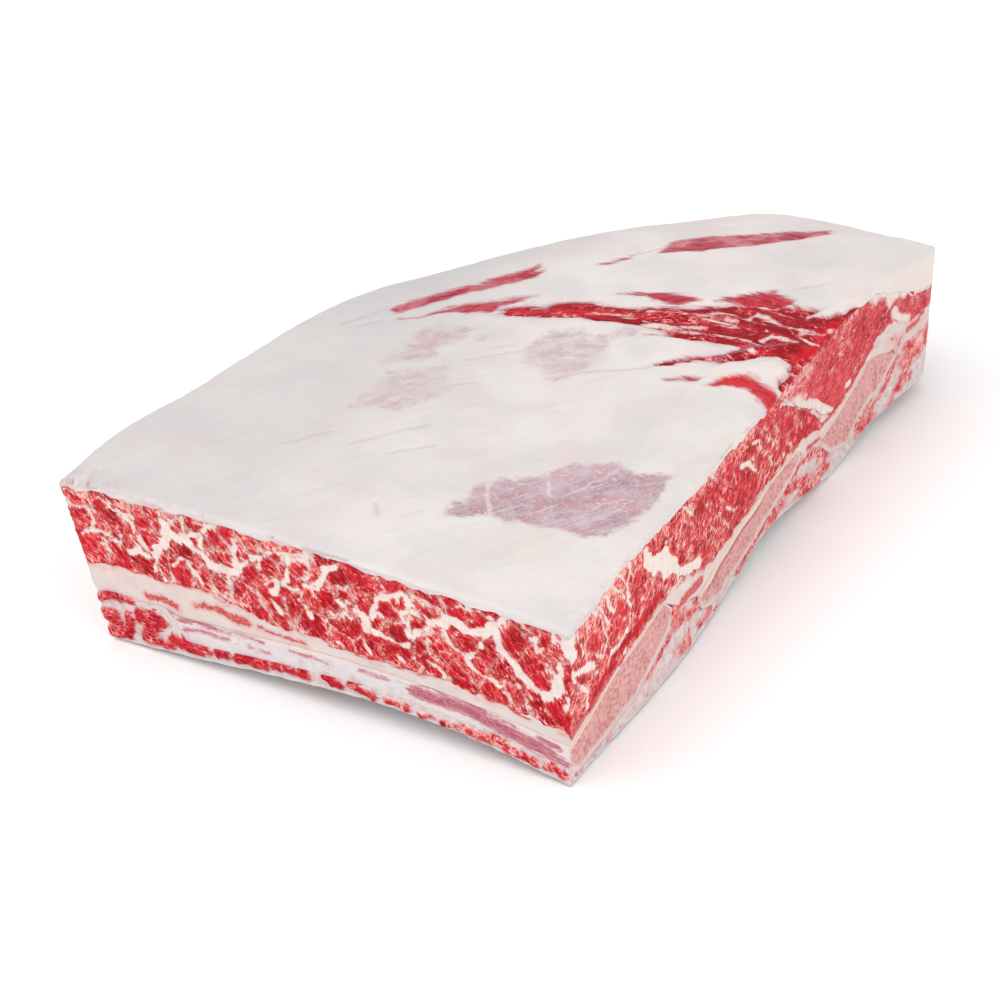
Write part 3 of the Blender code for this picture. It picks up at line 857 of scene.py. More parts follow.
# Fat seams of the front cut face, as (x, z), and of the sawn side, as (y, z).
frontMeat = {
    "rows": (286, 284, 48), "fine": ("front", "right", "left"), "spans": (172, 170, 30), "spacing": 4.5,
    "fibreAngle": {"front": -50.0, "right": 46.0, "left": 40.0, "back": 50.0},
    "lumps": (4.2, 0.22), "pits": (1.3, 0.12), "plain": {"tissue": -1.0, "veil": -3.0, "mark": -3.0},
    "bundles": [
        (-82, 47), (-80, 40), (-71, 43), (-65, 48), (-63, 38), (-72, 28), (-81, 31), (-63, 31), (-60, 45),
        (-54, 48), (-57, 36), (-46, 48), (-45, 46), (-38, 48), (-39, 42), (-54, 33), (-44, 36), (-48, 30),
        (-40, 32), (-37, 36), (-31, 44), (-29, 39), (-27, 47), (-19, 46), (-22, 42), (-13, 49), (-4, 49),
        (-13, 39), (-16, 33), (-27, 25), (-32, 28), (-20, 36), (-1, 43), (-7, 32), (0, 33), (-8, 37),
        (2, 42), (10, 43), (20, 46), (29, 47), (13, 38), (18, 36), (7, 33), (11, 28), (2, 24), (26, 37),
        (33, 41), (24, 28), (29, 31), (36, 36), (42, 47), (42, 42), (50, 46), (55, 44), (61, 51), (41, 30),
        (52, 35), (54, 28), (40, 24), (28, 22), (10, 19), (19, 20), (61, 34), (65, 31), (50, 21), (62, 22),
        (68, 22), (67, 42), (74, 50), (78, 47), (76, 34), (75, 21), (83, 24), (86, 34),
    ],
    "frontSeams": [
        (0.56, [(-71.8, 48.4), (-69.8, 45.7), (-67.6, 44.6), (-65.3, 43.8), (-61.9, 43.9)]),
        (0.56, [(-65.1, 43.2), (-62.6, 40.9), (-60.8, 39.4), (-60, 36.4), (-59.2, 34.3), (-58.7, 31.2)]),
        (0.7, [(-83.5, 34.9), (-78.9, 36.7), (-75.1, 36.4), (-72.1, 35.5), (-68.8, 33.9), (-66.4, 32.2),
               (-62.1, 33.4), (-59.6, 32)]),
        (0.35, [(-75.6, 34.1), (-75.7, 30), (-73.7, 28.1)]),
        (1.12, [(-50.7, 45.8), (-49.8, 42.8), (-51.6, 39.2), (-55.8, 34.1), (-58, 28.8)]),
        (1.4, [(-48.9, 42.1), (-50.1, 39.2), (-51.6, 37)]),
        (1.47, [(-50, 40.9), (-46.7, 41), (-43.2, 41.5), (-41.9, 41.2)]),
        (0.49, [(-41.4, 50.6), (-42.8, 46.7), (-43, 43.5)]),
        (0.84, [(-42.2, 42.7), (-36.6, 44.8), (-33.3, 47.9), (-31, 48.8)]),
        (0.77, [(-42.3, 39.8), (-40.1, 38.4), (-38, 38.2), (-36, 36.1)]),
        (1.05, [(-36.4, 44.2), (-38.1, 40.5), (-37.2, 38.4)]),
        (1.12, [(-36.3, 35.1), (-34, 34), (-31, 34.4), (-27.8, 34.2), (-25.4, 34.8)]),
        (0.42, [(-50.8, 50.2), (-50.5, 46.5)]),
        (1.19, [(-24.9, 43.2), (-25.3, 40.2), (-25.3, 36.8), (-24.6, 35.3)]),
        (0.35, [(-25, 45.9), (-24.7, 42.6)]), (1.05, [(-23.3, 37.7), (-20.2, 40.5), (-16.7, 42.2)]),
        (0.7, [(-16.8, 41.4), (-16.8, 38.1), (-15.2, 35.8), (-12, 35.6), (-9.6, 35.3)]),
        (0.91, [(-5.5, 46.1), (-6.8, 40.9), (-7.8, 37.5), (-10, 34.8)]),
        (1.19, [(-11.4, 35.1), (-11.8, 33.3), (-14.1, 30.6)]),
        (0.7, [(-14.6, 29.8), (-13.8, 26.9), (-12.1, 24.2)]),
        (0.7, [(-9.6, 35.3), (-7.3, 34.6), (-4.3, 35.4), (-2.7, 34.5)]),
        (0.49, [(-2.7, 34.5), (-1.9, 36.8), (2.5, 38.5)]),
        (0.56, [(-13.6, 45), (-9.3, 46), (-4, 46.9), (-0.4, 48), (2.6, 50)]),
        (0.49, [(-49.5, 31.7), (-46.3, 34.6), (-44.2, 34.5), (-43.7, 32.3), (-41.5, 30.9), (-39.6, 28.4)]),
        (0.42, [(-78.5, 42.4), (-77.5, 40.1), (-79.3, 36.6)]),
        (0.32, [(-64.8, 38.9), (-64.1, 36.5), (-61.8, 34.4)]),
        (0.32, [(-62.6, 39.6), (-60.8, 37.2), (-59.9, 34.5)]),
        (0.35, [(-38.4, 48.8), (-35.7, 48.2), (-33.6, 48.1)]),
        (1.19, [(6.9, 45.2), (5.7, 41.2), (3.5, 38.5)]), (0.56, [(6.5, 44.7), (9.9, 47.2)]),
        (0.63, [(3.5, 38.5), (-0.1, 37.4), (-3, 36.8)]), (0.63, [(12.8, 36.1), (15.3, 34), (17.6, 33)]),
        (1.47, [(18.2, 32.5), (19.7, 30.4), (19, 27.7)]),
        (0.91, [(20.9, 32.7), (22.1, 36.7), (24.1, 39.9), (27, 42), (30.5, 44), (32.6, 45.4)]),
        (0.32, [(30.8, 43.4), (30.4, 39.3)]),
        (0.77, [(33.6, 45.4), (34.7, 42.6), (34.4, 39.3), (33.4, 35.3), (33.4, 31.6), (33.5, 28.7)]),
        (0.35, [(37.7, 47.7), (35.5, 44)]),
        (0.84, [(20.4, 27.8), (23.5, 27.7), (26.4, 26.6), (29.1, 26.1), (31.9, 26.3), (33.8, 28.1)]),
        (1.05, [(33.8, 28.1), (36.1, 32.3), (39.7, 35.5), (41.2, 37.8)]),
        (1.26, [(40.5, 37.2), (42.6, 38.7), (45.6, 39.1)]),
        (1.61, [(45.6, 39.1), (47.7, 41.4), (49.6, 41.4), (52.1, 40.2), (55.7, 40.6), (59.9, 42.2),
                (63.2, 44.2)]),
        (1.19, [(60.6, 44.2), (63.9, 46.5), (66.8, 50.4), (68.8, 54.2)]),
        (0.42, [(50.9, 47.6), (54.4, 47.8), (58.3, 48.2), (61.7, 47.8)]),
        (1.47, [(62.5, 43.2), (63, 40.3), (64.5, 37.4), (66.7, 35.1), (69.5, 32.5), (71.7, 30.3),
                (74.2, 28.6)]),
        (0.91, [(71.7, 30.3), (74.5, 28.4), (76.8, 27.6), (79.6, 28.2)]),
        (1.33, [(79.6, 28.2), (81.8, 30.2), (82.5, 33.2), (83.1, 37.5), (82.8, 39)]),
        (0.46, [(46.1, 36.8), (47.5, 32.7), (50, 31.5), (51.6, 29.6), (53.8, 27.3), (57.3, 25.5)]),
        (0.42, [(51.6, 29.6), (55.3, 32.6), (57.8, 36.1), (58.5, 39.6)]),
        (0.39, [(57.3, 25.5), (60.9, 25.6), (63.2, 24.1)]),
        (0.7, [(40.1, 23.2), (42.8, 22.8), (44.3, 19.7)]),
        (0.35, [(16.9, 24.8), (17.9, 21.4), (19.7, 19.1)]),
        (0.56, [(77.1, 54.1), (79.8, 51.1), (81, 48.3), (80.4, 43.7)]),
        (0.42, [(69.7, 27), (71.6, 23.9), (73.1, 19.7)]), (0.7, [(85.6, 30.1), (84.9, 24.8)]),
        (0.32, [(5.7, 32.4), (7.8, 29.8), (10, 28.4)]), (0.32, [(9.6, 35.1), (11.6, 32.1), (13.4, 30.2)]),
        (0.32, [(36, 42.4), (38.1, 40.6), (40.7, 39.4)]),
        (0.32, [(39.4, 44.3), (42.2, 42.2), (44.7, 40.6)]), (0.42, [(49.3, 36.3), (50.7, 38.3)]),
        (0.7, [(29, 21.6), (30.9, 19.7)]), (0.35, [(33.5, 24.7), (35.3, 22.4), (37.9, 20.5)]),
        (0.35, [(6.7, 20.1), (8.7, 19.3), (10.9, 17.4)]), (0.35, [(23.6, 35.4), (26.1, 33), (27.5, 29.9)]),
        (0.35, [(70.6, 52.1), (71.7, 48.1), (73.6, 44.8)]), (0.35, [(74.5, 45.1), (76, 40.6)]),
        (0.49, [(73.1, 55.7), (77.1, 54.5)]), (0.42, [(75.8, 28.6), (78, 25.1), (78.9, 21.7)]),
        (0.35, [(73.2, 25.7), (75.4, 22.2)]), (0.42, [(-4, 31.3), (-1.9, 29.1), (0.1, 26.1)]),
        (0.35, [(-22.8, 43.1), (-20.7, 41.4)]),
    ],
    "frontFringe": [(3.0, [(-22, 46), (-12, 48.5), (0, 51)]), (2.4, [(-52, 49), (-42, 50)]),
                    (1.8, [(-66, 48), (-54, 49)]), (1.4, [(-34, 26), (-24, 24)])],
    "frontPatches": [[(82, 56), (87, 56), (87, 43), (85, 42), (83, 46)]],
    "sideSeams": [
        (0.5, [(-129.4, 56.3), (-120.7, 47.8), (-114, 40.5)]),
        (0.55, [(-124.1, 55.9), (-115.4, 48.3), (-111.2, 42.4)]),
        (0.55, [(-118.8, 56.4), (-109.2, 48.4), (-105, 42.5)]),
        (0.5, [(-113.5, 56.9), (-105.4, 50.2), (-102.2, 44.5)]),
        (0.45, [(-107.1, 56), (-100.9, 50.8), (-97.9, 46.5)]),
        (0.4, [(-136.3, 50.6), (-132.8, 52.4), (-124.2, 49), (-118.3, 42.1), (-115.9, 35.4),
               (-119.5, 31.2), (-126.2, 36.1), (-133, 43.6), (-136.3, 50.6)]),
        (0.7, [(-100.9, 35.8), (-101.7, 31.7), (-108.3, 30.1), (-114.4, 30), (-116.3, 26.6), (-116.1, 22.9)]),
        (0.7, [(-138.3, 38), (-136.5, 34.2), (-129.8, 25.7), (-129.1, 20.7)]),
        (0.7, [(-102, 55), (-100, 50), (-102, 46), (-102, 41), (-100, 38), (-101, 33), (-105, 31)]),
        (0.9, [(-19, 42.5), (-12, 40), (-6, 34)]), (0.5, [(-10, 46), (-5, 45), (-2, 39)]),
        (0.5, [(-44, 52), (-38, 47)]), (0.4, [(-62, 50), (-56, 45)]), (0.4, [(-30, 34), (-24, 30)]),
    ],
    "sidePatches": [
        [(-89, 52), (-85, 46), (-80, 44), (-76, 45), (-74, 43), (-73, 40), (-69, 36), (-66, 32), (-63, 31),
         (-57, 29), (-50, 27), (-50, 20), (-69, 21), (-76, 25), (-73, 25), (-70, 26), (-69, 30), (-72, 33),
         (-77, 35), (-84, 40), (-89, 43), (-91, 46), (-90, 49)],
        [(-140.5, 40), (-140.5, 54), (-137.6, 50), (-136.3, 46), (-134.8, 41.5)],
        [(-139, 38), (-134.8, 37.3), (-128, 35.2), (-122.3, 30.9), (-127, 31.6), (-134.7, 35.3)],
    ],
    "sideReds": [(1.4, [(-81, 31.4), (-97, 28.8), (-110, 27.2), (-125, 22)])],
}


def frontFace(x, y, z):
    swayX = 1.2 * flatNoise(x, z, 5.0, 42) + 0.4 * flatNoise(x, z, 1.8, 52)
    swayZ = 1.0 * flatNoise(x, z, 5.0, 53) + 0.4 * flatNoise(x, z, 1.8, 54)
    edge, tone, centre = cellsRound(x + swayX, z + swayZ, frontMeat["bundles"], 1.5, math.radians(-50))
    turn = hashed(np.round(np.stack([centre[:, 0], centre[:, 1], centre[:, 0]], axis=1)).astype(np.int64), 9)
    angles = math.radians(-48) + (turn - 0.5) * math.radians(36)
    lobes, lobeEdge, lobeTone, grain = bundled(x, z, edge, angles, 55)
    drawn = lineReach(x + 0.4 * swayX, z + 0.4 * swayZ, frontMeat["frontSeams"]) - 0.05
    drawn += 0.5 * (flatNoise(x, z, 3.0, 56) + flatNoise(x, z, 1.5, 99))
    drawn += 0.5 * flatNoise(grain[:, 0], grain[:, 1], (4.0, 1.3), 93)
    patches = [patchReach(x + 0.5 * swayX, z, outline) for outline in frontMeat["frontPatches"]]
    tissue = np.max([0.04 + 0.45 * flatNoise(x, z, (11.0, 9.0), 41) - edge, lobes, drawn, *patches], axis=0)
    top, under = capUnder(x, y), meatUnder(x, y)
    fringe = 0.5 * ease(z, top - 6.0 + 3.0 * flatNoise(x, z, 12, 43), top - 0.5)
    pinkish = lineReach(x, z, frontMeat["frontFringe"]) + 1.2 * flatNoise(x, z, 3.0, 57)
    pale = np.max([fringe, 1.3 * ease(pinkish, -1.5, 1.0), 0.6 * ease(-z, -under - 3.0, -under)], axis=0)
    swell = 0.45 * bulge(edge, 1.4) + 0.22 * bulge(lobeEdge, 0.5) - 0.3 * ease(tissue, -0.2, 0.6) - 0.3
    return {"tissue": tissue, "tone": 0.7 * (tone - 0.5) + 0.3 * (lobeTone - 0.5), "pale": pale - 0.3,
            "grain": grain, "lift": swell + 0.35 * flatNoise(x, z, (22.0, 14.0), 44)}


def sawnFace(side, x, y, z):
    turn = math.radians(frontMeat["fibreAngle"][side])
    swayY = 1.2 * flatNoise(y, z, 5.0, 45) + 0.5 * flatNoise(y, z, 1.8, 46)
    a, b = turned(y, z, turn)
    edge, tone = cellsOver(a + swayY, b + 1.5 * flatNoise(y, z, 9.0, 49), (6.5, 3.6), 47)
    bow = 2.4 * flatNoise(y, z, 15.0, 58)
    lobes, lobeEdge, lobeTone, grain = bundled(y + bow, z - bow, edge + 0.6, turn, 59)
    grain[:, 0] *= 1.2
    tissue = np.maximum(-0.35 + 0.5 * flatNoise(y, z, 12.0, 48) - edge, lobes)
    pale = 0.3 * ease(-y, 30.0, 90.0) - 0.1 + 0.5 * flatNoise(y, z, (16, 12), 50)
    if side == "right":
        drawn = lineReach(y + 0.6 * swayY, z + 0.4 * swayY, frontMeat["sideSeams"])
        patches = [patchReach(y + swayY, z + 0.5 * swayY, outline) for outline in frontMeat["sidePatches"]]
        tissue = np.max([tissue, drawn + 0.3 * flatNoise(y, z, 3.0, 60), *patches], axis=0)
        beside = lineReach(y, z, frontMeat["sideReds"])
        tissue = np.where(beside > -1.0, np.minimum(tissue, -0.4 - beside), tissue)
        tone = tone - 0.25 * ease(beside, -1.5, 0.5)
        pale = pale - 0.8 * ease(beside, -2.0, 0.5) + 0.9 * ease(z - capUnder(x, y), -7.0, -1.0)
    swell = 0.3 * bulge(edge, 1.0) + 0.2 * bulge(lobeEdge, 0.5) - 0.25 * ease(tissue, -0.2, 0.6) - 0.2
    return {"tissue": tissue, "tone": 0.6 * (tone - 0.5) + 0.3 * (lobeTone - 0.5), "pale": pale,
            "grain": grain, "lift": swell + 0.4 * flatNoise(y, z, (20.0, 14.0), 51)}


def makeFrontMuscle():
    def place(s, u, v):
        x = alongRibs(s)
        y = between(-slab["halfWidth"], divideFront(x, v), u)
        high = capBorder(x, y) + 0.2 - 2.0 * ease(edgeAway(x, y), 0.5, 5.0)
        return x, y, between(meatBorder(x, y), high, v)

    def surface(side, flat, shares):
        if side not in frontMeat["fine"]:
            return {}
        found = frontFace(*flat.T) if side == "front" else sawnFace(side, *flat.T)
        found["lift"] -= 0.7 * np.clip(1.0 - (1.0 - shares[:, 2]) * frontMeat["rows"][2], 0.0, 1.0)
        return found
    makePiece("shortRibMeat", frontMeat, place, surface, "muscle", "short_rib_muscle")


makeFrontMuscle()

cap = {
    "rows": (230, 370, 6), "fine": ("top", "front", "right", "left", "back"), "spans": (172, 280, 3),
    "spacing": 7.0, "fibreSway": 2.0, "lumps": (9.0, 0.35), "pits": (2.4, 0.1),
    "openSides": ("top", "bottom"), "edgeRound": 1.3, "roundBy": 0.7, "sink": 1.2, "edgeIn": 2.5,
    "thicker": 2.6, "thinnest": 0.35, "windowSlope": 5.0,
    "window": [(-33, 15), (-28, 23), (-18, 27), (-15, 32), (-5, 37), (5, 38), (13, 40), (20, 45),
               (29, 48), (37, 52), (46, 56), (53, 60), (62, 62), (74, 64), (72, 59), (80, 61), (86, 72),
               (95, 76), (95, 13), (85, 13), (83.5, 16), (83.5, 23), (81, 28), (75, 31),
               (69, 29), (64, 24), (58, 19), (56, 20), (50, 18), (43, 12), (36, 7), (40, 13), (49, 20),
               (56, 24), (59, 31), (52, 30), (44, 29), (35, 28), (27, 30), (19, 30), (12, 29), (4, 27),
               (-3, 26), (-9, 23), (-17, 20)],
    "tongue": [(2.0, [(64, 16), (76, 22), (80, 21)])], "tongueLift": 1.3, "tongueSteep": 0.72,
    "lip": 4.0, "film": 1.1,
    "streaks": [  # (how dull and filmy, outline)
        (0.45, [(-65, 2), (-62.4, 9.6), (-54.2, 21.5), (-47.4, 31.5), (-40.4, 42.5), (-36.6, 50),
                (-35, 49), (-34.8, 45.6), (-32.4, 48), (-32.4, 43), (-35, 38), (-40, 31), (-47, 22),
                (-52, 15), (-57, 7), (-60, 2), (-62.6, 0)]),
        (0.8, [(-8, 76), (-11, 84), (-12, 90), (-4, 101), (5, 112), (11, 121), (21, 131), (27, 129),
               (24, 115), (19, 104), (13, 95), (4, 84), (-3, 79), (-6, 76)]),
        (0.5, [(-58, -3), (-53, 1), (-51, 6), (-47, 12), (-41, 18), (-35, 24), (-29, 28), (-24, 31),
               (-28, 26), (-32, 20), (-33, 16), (-39, 10), (-43, 9), (-48, 6), (-52, 0)]),
        (0.15, [(1, 45), (7, 49), (16, 52), (9, 47), (5, 46)]),
        (0.12, [(8, 49), (14, 52), (19, 53), (26, 54), (31, 53), (24, 48), (14, 46)]),
        (0.1, [(35, 55), (40, 60), (44, 64), (48, 67), (52, 69), (57, 66), (63, 65), (60, 60), (50, 57),
               (42, 56)]),
        (0.3, [(25, 23), (31, 27), (43, 31), (41, 28), (32, 25)]),
        (0.2, [(45, 1), (48, 4), (53, 6), (58, 7), (57, 4), (51, 2), (47, 0)]),
        (0.0, [(60, 3), (62, 8), (66, 12), (70, 14.5), (76, 13.6), (81, 11), (88, 8), (95, 8), (95, -3),
               (86, -1), (82, 2), (77, 5.4), (73, 7), (68, 6), (64, 3)]),
        (0.9, [(-19, 59), (-17, 63), (-15, 69), (-14, 73), (-13, 67), (-16, 61)]),
    ],
    "veils": [
        (1.0, [(28, -109), (27, -101), (28, -95), (27, -90), (28, -84), (31, -80), (36, -76), (43, -71),
               (43, -66), (47, -62), (54, -57), (59, -55), (63, -57), (68, -58), (76, -54), (79, -54),
               (78, -57), (79, -62), (80, -70), (80, -76), (79, -82), (78, -88), (75, -94), (69, -98),
               (64, -98), (61, -97), (54, -100), (49, -100), (46, -103), (41, -101), (37, -103),
               (34, -106)]),
        (0.5, [(-43, -35), (-45, -29), (-44, -20), (-46, -11), (-47, -6), (-45, 1), (-41, -2),
               (-37, 2), (-29, 4), (-30, -3), (-31, -9), (-35, -16), (-32, -18), (-34, -25), (-41, -27)]),
        (0.42, [(-39, -38), (-35, -33), (-25, -22), (-20, -31), (-14, -36), (-14, -46), (-19, -59),
                (-27, -62), (-35, -64), (-35, -56), (-37, -45)]),
        (0.5, [(-6, -7), (-7, -1), (-7, 7), (-7, 11), (-2, 14), (3, 19), (8, 14), (11, 17), (16, 15),
               (19, 7), (18, 1), (19, -7), (13, -17), (4, -11), (-2, -11)]),
        (0.5, [(13, 18), (16, 24), (21, 27), (23, 21), (17, 18)]),
        (0.8, [(-33, 15), (-31, 22), (-26, 26), (-19, 28), (-20, 21), (-28, 16)]),
        (0.45, [(-26, -5), (-26, 1), (-23, 2), (-23, -3)]),
        (0.7, [(-34, 15.6), (-32, 20), (-28, 24), (-23, 27), (-17, 26), (-20, 20), (-24, 18), (-29, 15.6)]),
        (0.2, [(-90, -141), (-58, -141), (-66, -134), (-76, -132), (-87, -130), (-90, -130)]),
    ],
    "creases": [
        (0.5, [(-74, -14), (-70, -6), (-66, 3)]), (0.3, [(-18, -6), (-13, -2)]),
        (0.4, [(-21, -17), (-13, -9), (-8, -4)]), (0.4, [(-29, -27), (-25, -23)]),
        (0.5, [(10, -16), (16, -9), (23, -4), (36, 5)]), (0.4, [(-20, -41), (-16, -35), (-9, -29)]),
        (0.5, [(-67, -11), (-63, -6)]), (0.5, [(-6, -83), (3, -72)]), (0.6, [(7, -112), (11, -117)]),
        (0.4, [(-20, -84), (-12, -70), (-6, -62)]), (0.3, [(-38, -95), (-30, -80)]),
        (0.5, [(-13, 74), (-11, 80), (-9, 88)]), (0.4, [(58, 72), (66, 80)]),
    ],
    "rosyEdge": [(-0.4, [(-86, -134), (-86, -140), (-76, -140)]), (-1.3, [(-76, -140), (-34, -140)]),
                 (-1.5, [(60, -140), (72, -140)]), (-1.2, [(86, -136), (86, -90)])],
    "scratches": [
        (0.5, [(54, -79), (57, -70), (61, -59)]), (0.35, [(65, -58), (69, -51)]),
        (0.4, [(54, -96), (54, -88)]), (0.4, [(63, -89), (66, -79), (71, -73)]),
        (0.9, [(27, -81), (33, -91), (40, -101)]), (0.8, [(44, -74), (50, -82)]),
        (0.6, [(37, -80), (39, -79)]), (0.7, [(51, -92), (52, -89)]),
    ],
}


def windowReach(x, y):  # mm inside the window in the cap, its ends feathered along the fibres
    a, b = arcOver(x, y)
    feather = 0.9 * flatNoise(a, b, (15.0, 1.7), 81) + 0.4 * flatNoise(a, b, (6.0, 1.2), 82)
    return patchReach(x, y, cap["window"]) + feather


deckle = {
    "rows": (230, 200, 38), "fine": ("top", "right", "left", "back"), "spans": (172, 100, 26),
    "spacing": 6.0, "fibreAngle": {"right": 30.0, "left": 30.0, "back": -40.0}, "fibreSway": 2.0,
    "lumps": (5.0, 0.3), "pits": (1.5, 0.14), "openSides": ("top",),
    "plain": {"tissue": -1.0, "veil": -3.0, "mark": -3.0},
    "patch": [(14, 51), (20, 47), (28, 46), (33, 41), (42, 38), (49, 33), (58, 27), (46, 26), (37, 32),
              (28, 36), (24, 42), (16, 43)],
    "hang": [(80, 57), (90, 52), (101, 46.5), (112, 44.0), (119, 46.0), (126, 52)],
    "topFolds": [(3.0, 1.3, [(57, 22), (64, 30), (77, 39)]), (3.2, 1.4, [(84, 31), (85, 44), (84, 58)]),
                 (2.2, 0.9, [(20, 40), (45, 47), (70, 47)]), (2.0, 0.8, [(18, 33), (34, 33), (60, 36)])],
    # topFatAndHighlights: white lines over the top, partly fat and partly painted wet highlights
    "topFatAndHighlights": [(0.9, [(53, 48), (54, 53), (59, 53), (65, 50)]),
               (0.8, [(65, 38), (66, 42), (72, 42), (77, 41)]),
               (0.9, [(75, 48), (79, 49)]), (0.5, [(70, 49), (78, 51), (84, 50)]),
               (0.3, [(17, 40), (35, 44.5), (51, 46)]), (0.35, [(18, 33), (34, 32), (49, 35), (61, 36)]),
               (0.4, [(0, 31), (14, 35)]), (0.5, [(34, 36), (41, 38)]), (0.6, [(62, 44), (63, 45)]),
               (0.6, [(85, 52), (85.5, 54)]), (0.3, [(45, 41), (56, 43)])],
    "topPurple": [(1.2, [(56, 20), (59, 27), (64, 33)]), (0.9, [(66, 35), (74, 39)]),
                  (0.5, [(44, 14), (57, 20)])],
    "topBright": [(3.4, [(82, 32), (85, 42), (84, 58)]), (1.6, [(66, 14), (77, 13), (86, 5)]),
                  (1.2, [(-14, 27), (4, 33), (20, 36)])],
    "sideBright": [(2.5, [(25, 57), (45, 60), (66, 62)])],
    "sidePale": [(2.0, [(104, 43), (110, 38), (116, 35)]), (1.4, [(68, 30.7), (71, 30.7)])],
    "sideSmooth": [(37, 42.5), (46, 42.8), (60, 39.7), (72, 36.5), (78, 27), (69, 25), (55, 27.4), (44, 33)],
}


def deckleTop(x, y):
    a, b = arcOver(x, y)
    strands = flatNoise(a, b, (22.0, 2.4), 61)
    fine = flatNoise(a, b, (9.0, 1.5), 62)
    reach = windowReach(x, y)
    rough = ease(x, -20.0, 40.0) * ease(-y, -76.0, -66.0)
    lift = ease(reach, -0.5, 1.5) * (1.0 - 0.7 * ease(x, 76.0, 86.0)) + rough * (0.4 * strands + 0.25 * fine)
    for width, height, line in deckle["topFolds"]:
        lift += height * np.exp(np.minimum(lineReach(x, y, [(0.0, line)]), 0.0) / width * 1.6)
    fatty = 0.7 * flatNoise(a, b, (18.0, 2.0), 63) + 0.6 * flatNoise(a, b, (7.0, 1.5), 64)
    fatty = fatty - 0.6 * (1.0 - rough) - 0.72
    # white lines over the top: fat, and painted wet highlights
    fatAndHighlightLines = lineReach(x + fine, y + 0.6 * fine, deckle["topFatAndHighlights"]) + 0.6 * flatNoise(x, y, 2.0, 60)
    tissue = np.max([2.4 * fatty, np.minimum(fatAndHighlightLines, 0.3), -0.7 - np.maximum(reach, -0.3) * 0.7], axis=0)
    plain = np.maximum(ease(y, 66.0, 76.0), ease(-x, 0.0, 25.0))
    return {"tissue": tissue, "tone": 0.6 * strands - 0.8 + 0.45 * plain, "lift": lift,
            "pale": 0.8 * flatNoise(a, b, (26.0, 4.0), 65) - 0.55 - 0.9 * plain,
            "veil": lineReach(x, y, deckle["topPurple"]), "mark": lineReach(x, y, deckle["topBright"])}


def deckleSide(side, x, y, z):
    a = x if side == "back" else y
    edge, tone = cellsOver(a + 2.0 * flatNoise(a, z, 9, 66), z, (8.0, 4.6), 67)
    bow = 2.4 * flatNoise(a, z, 15.0, 76)
    turn = math.radians(deckle["fibreAngle"][side])
    lobes, lobeEdge, lobeTone, grain = bundled(a + bow, z - bow, edge + 0.9, turn, 77)
    grain[:, 0] *= 1.3
    tissue = np.maximum(-0.5 + 0.6 * flatNoise(a, z, 13.0, 68) - edge, lobes) - 0.4
    pale = -0.2 + 0.5 * flatNoise(a, z, (16, 12), 69)
    mark = -3.0
    if side == "right":
        sway = 0.9 * flatNoise(y, z, 4.0, 78)
        hang = lineThrough(deckle["hang"])(y)
        tissue = np.max([tissue, patchReach(y + sway, z - sway, deckle["patch"]),
                         lineReach(y + sway, z, deckle["sidePale"]),
                         0.45 * (z + 2.0 * sway - hang) - 0.4], axis=0)
        mark = lineReach(y, z, deckle["sideBright"])
        smooth = ease(patchReach(y + 2.0 * sway, z, deckle["sideSmooth"]), -1.5, 3.0)
        pale = pale + 0.5 * ease(-y, -56.0, -40.0) + 0.5 * ease(z - capUnder(x, y), -8.0, -1.0) - 1.6 * smooth
        tissue = np.where(tissue > 0.0, tissue, tissue - smooth)
        lobeTone = lobeTone + 0.8 * smooth
    swell = 0.25 * bulge(lobeEdge, 0.6) - 0.15
    return {"tissue": tissue, "tone": 0.5 * (tone - 0.5) + 0.3 * (lobeTone - 0.5), "grain": grain,
            "pale": pale, "mark": mark, "lift": 0.4 * flatNoise(a, z, (18, 12), 70) + swell}


def makeDeckle():
    def place(s, u, v):
        x = alongRibs(s)
        y = between(divideBack(x, v), slab["halfWidth"], u)
        return x, y, between(meatBorder(x, y), capUnder(x, y), v)

    def surface(side, flat, shares):
        if side not in deckle["fine"]:
            return {}
        x, y, z = flat.T
        return deckleTop(x, y) if side == "top" else deckleSide(side, x, y, z)
    makePiece("deckleMeat", deckle, place, surface, "deckle", "deckle_muscle")


makeDeckle()

seamFat = {
    "rows": (230, 374, 12), "fine": ("front", "right", "left", "back"), "spans": (172, 280, 8),
    "spacing": 7.0, "fibreAngle": {"right": 4.0, "left": 4.0}, "fibreSway": 1.0,
    "lumps": (5.0, 0.2), "pits": (1.5, 0.1), "plain": {"tissue": -3.0},
    "frontRed": [(0.8, [(-46, 19), (-42, 20), (-36, 20)]), (1.3, [(-37, 20), (-32, 18.4), (-26, 17.6)]),
                 (0.5, [(-22, 17), (-12, 15.4), (-5, 15.2)]), (0.9, [(-65, 18.4), (-58, 18.4), (-53, 17)]),
                 (0.3, [(-40, 26), (-34, 23), (-16, 24), (-5, 22.6), (6, 20.8)])],
    "sideRed": [(1.6, [(-66, 20), (-58, 19.6), (-50, 18.8)]), (0.8, [(28, 20), (36, 18.6)]),
                (1.0, [(38, 20.6), (47, 20.0)]), (1.2, [(117, 31), (126, 31)])],
}
divider = {**seamFat, "rows": (172, 10, 46), "fine": ("right", "left", "top"), "spans": (172, 6, 46),
           "spacing": 6.0}


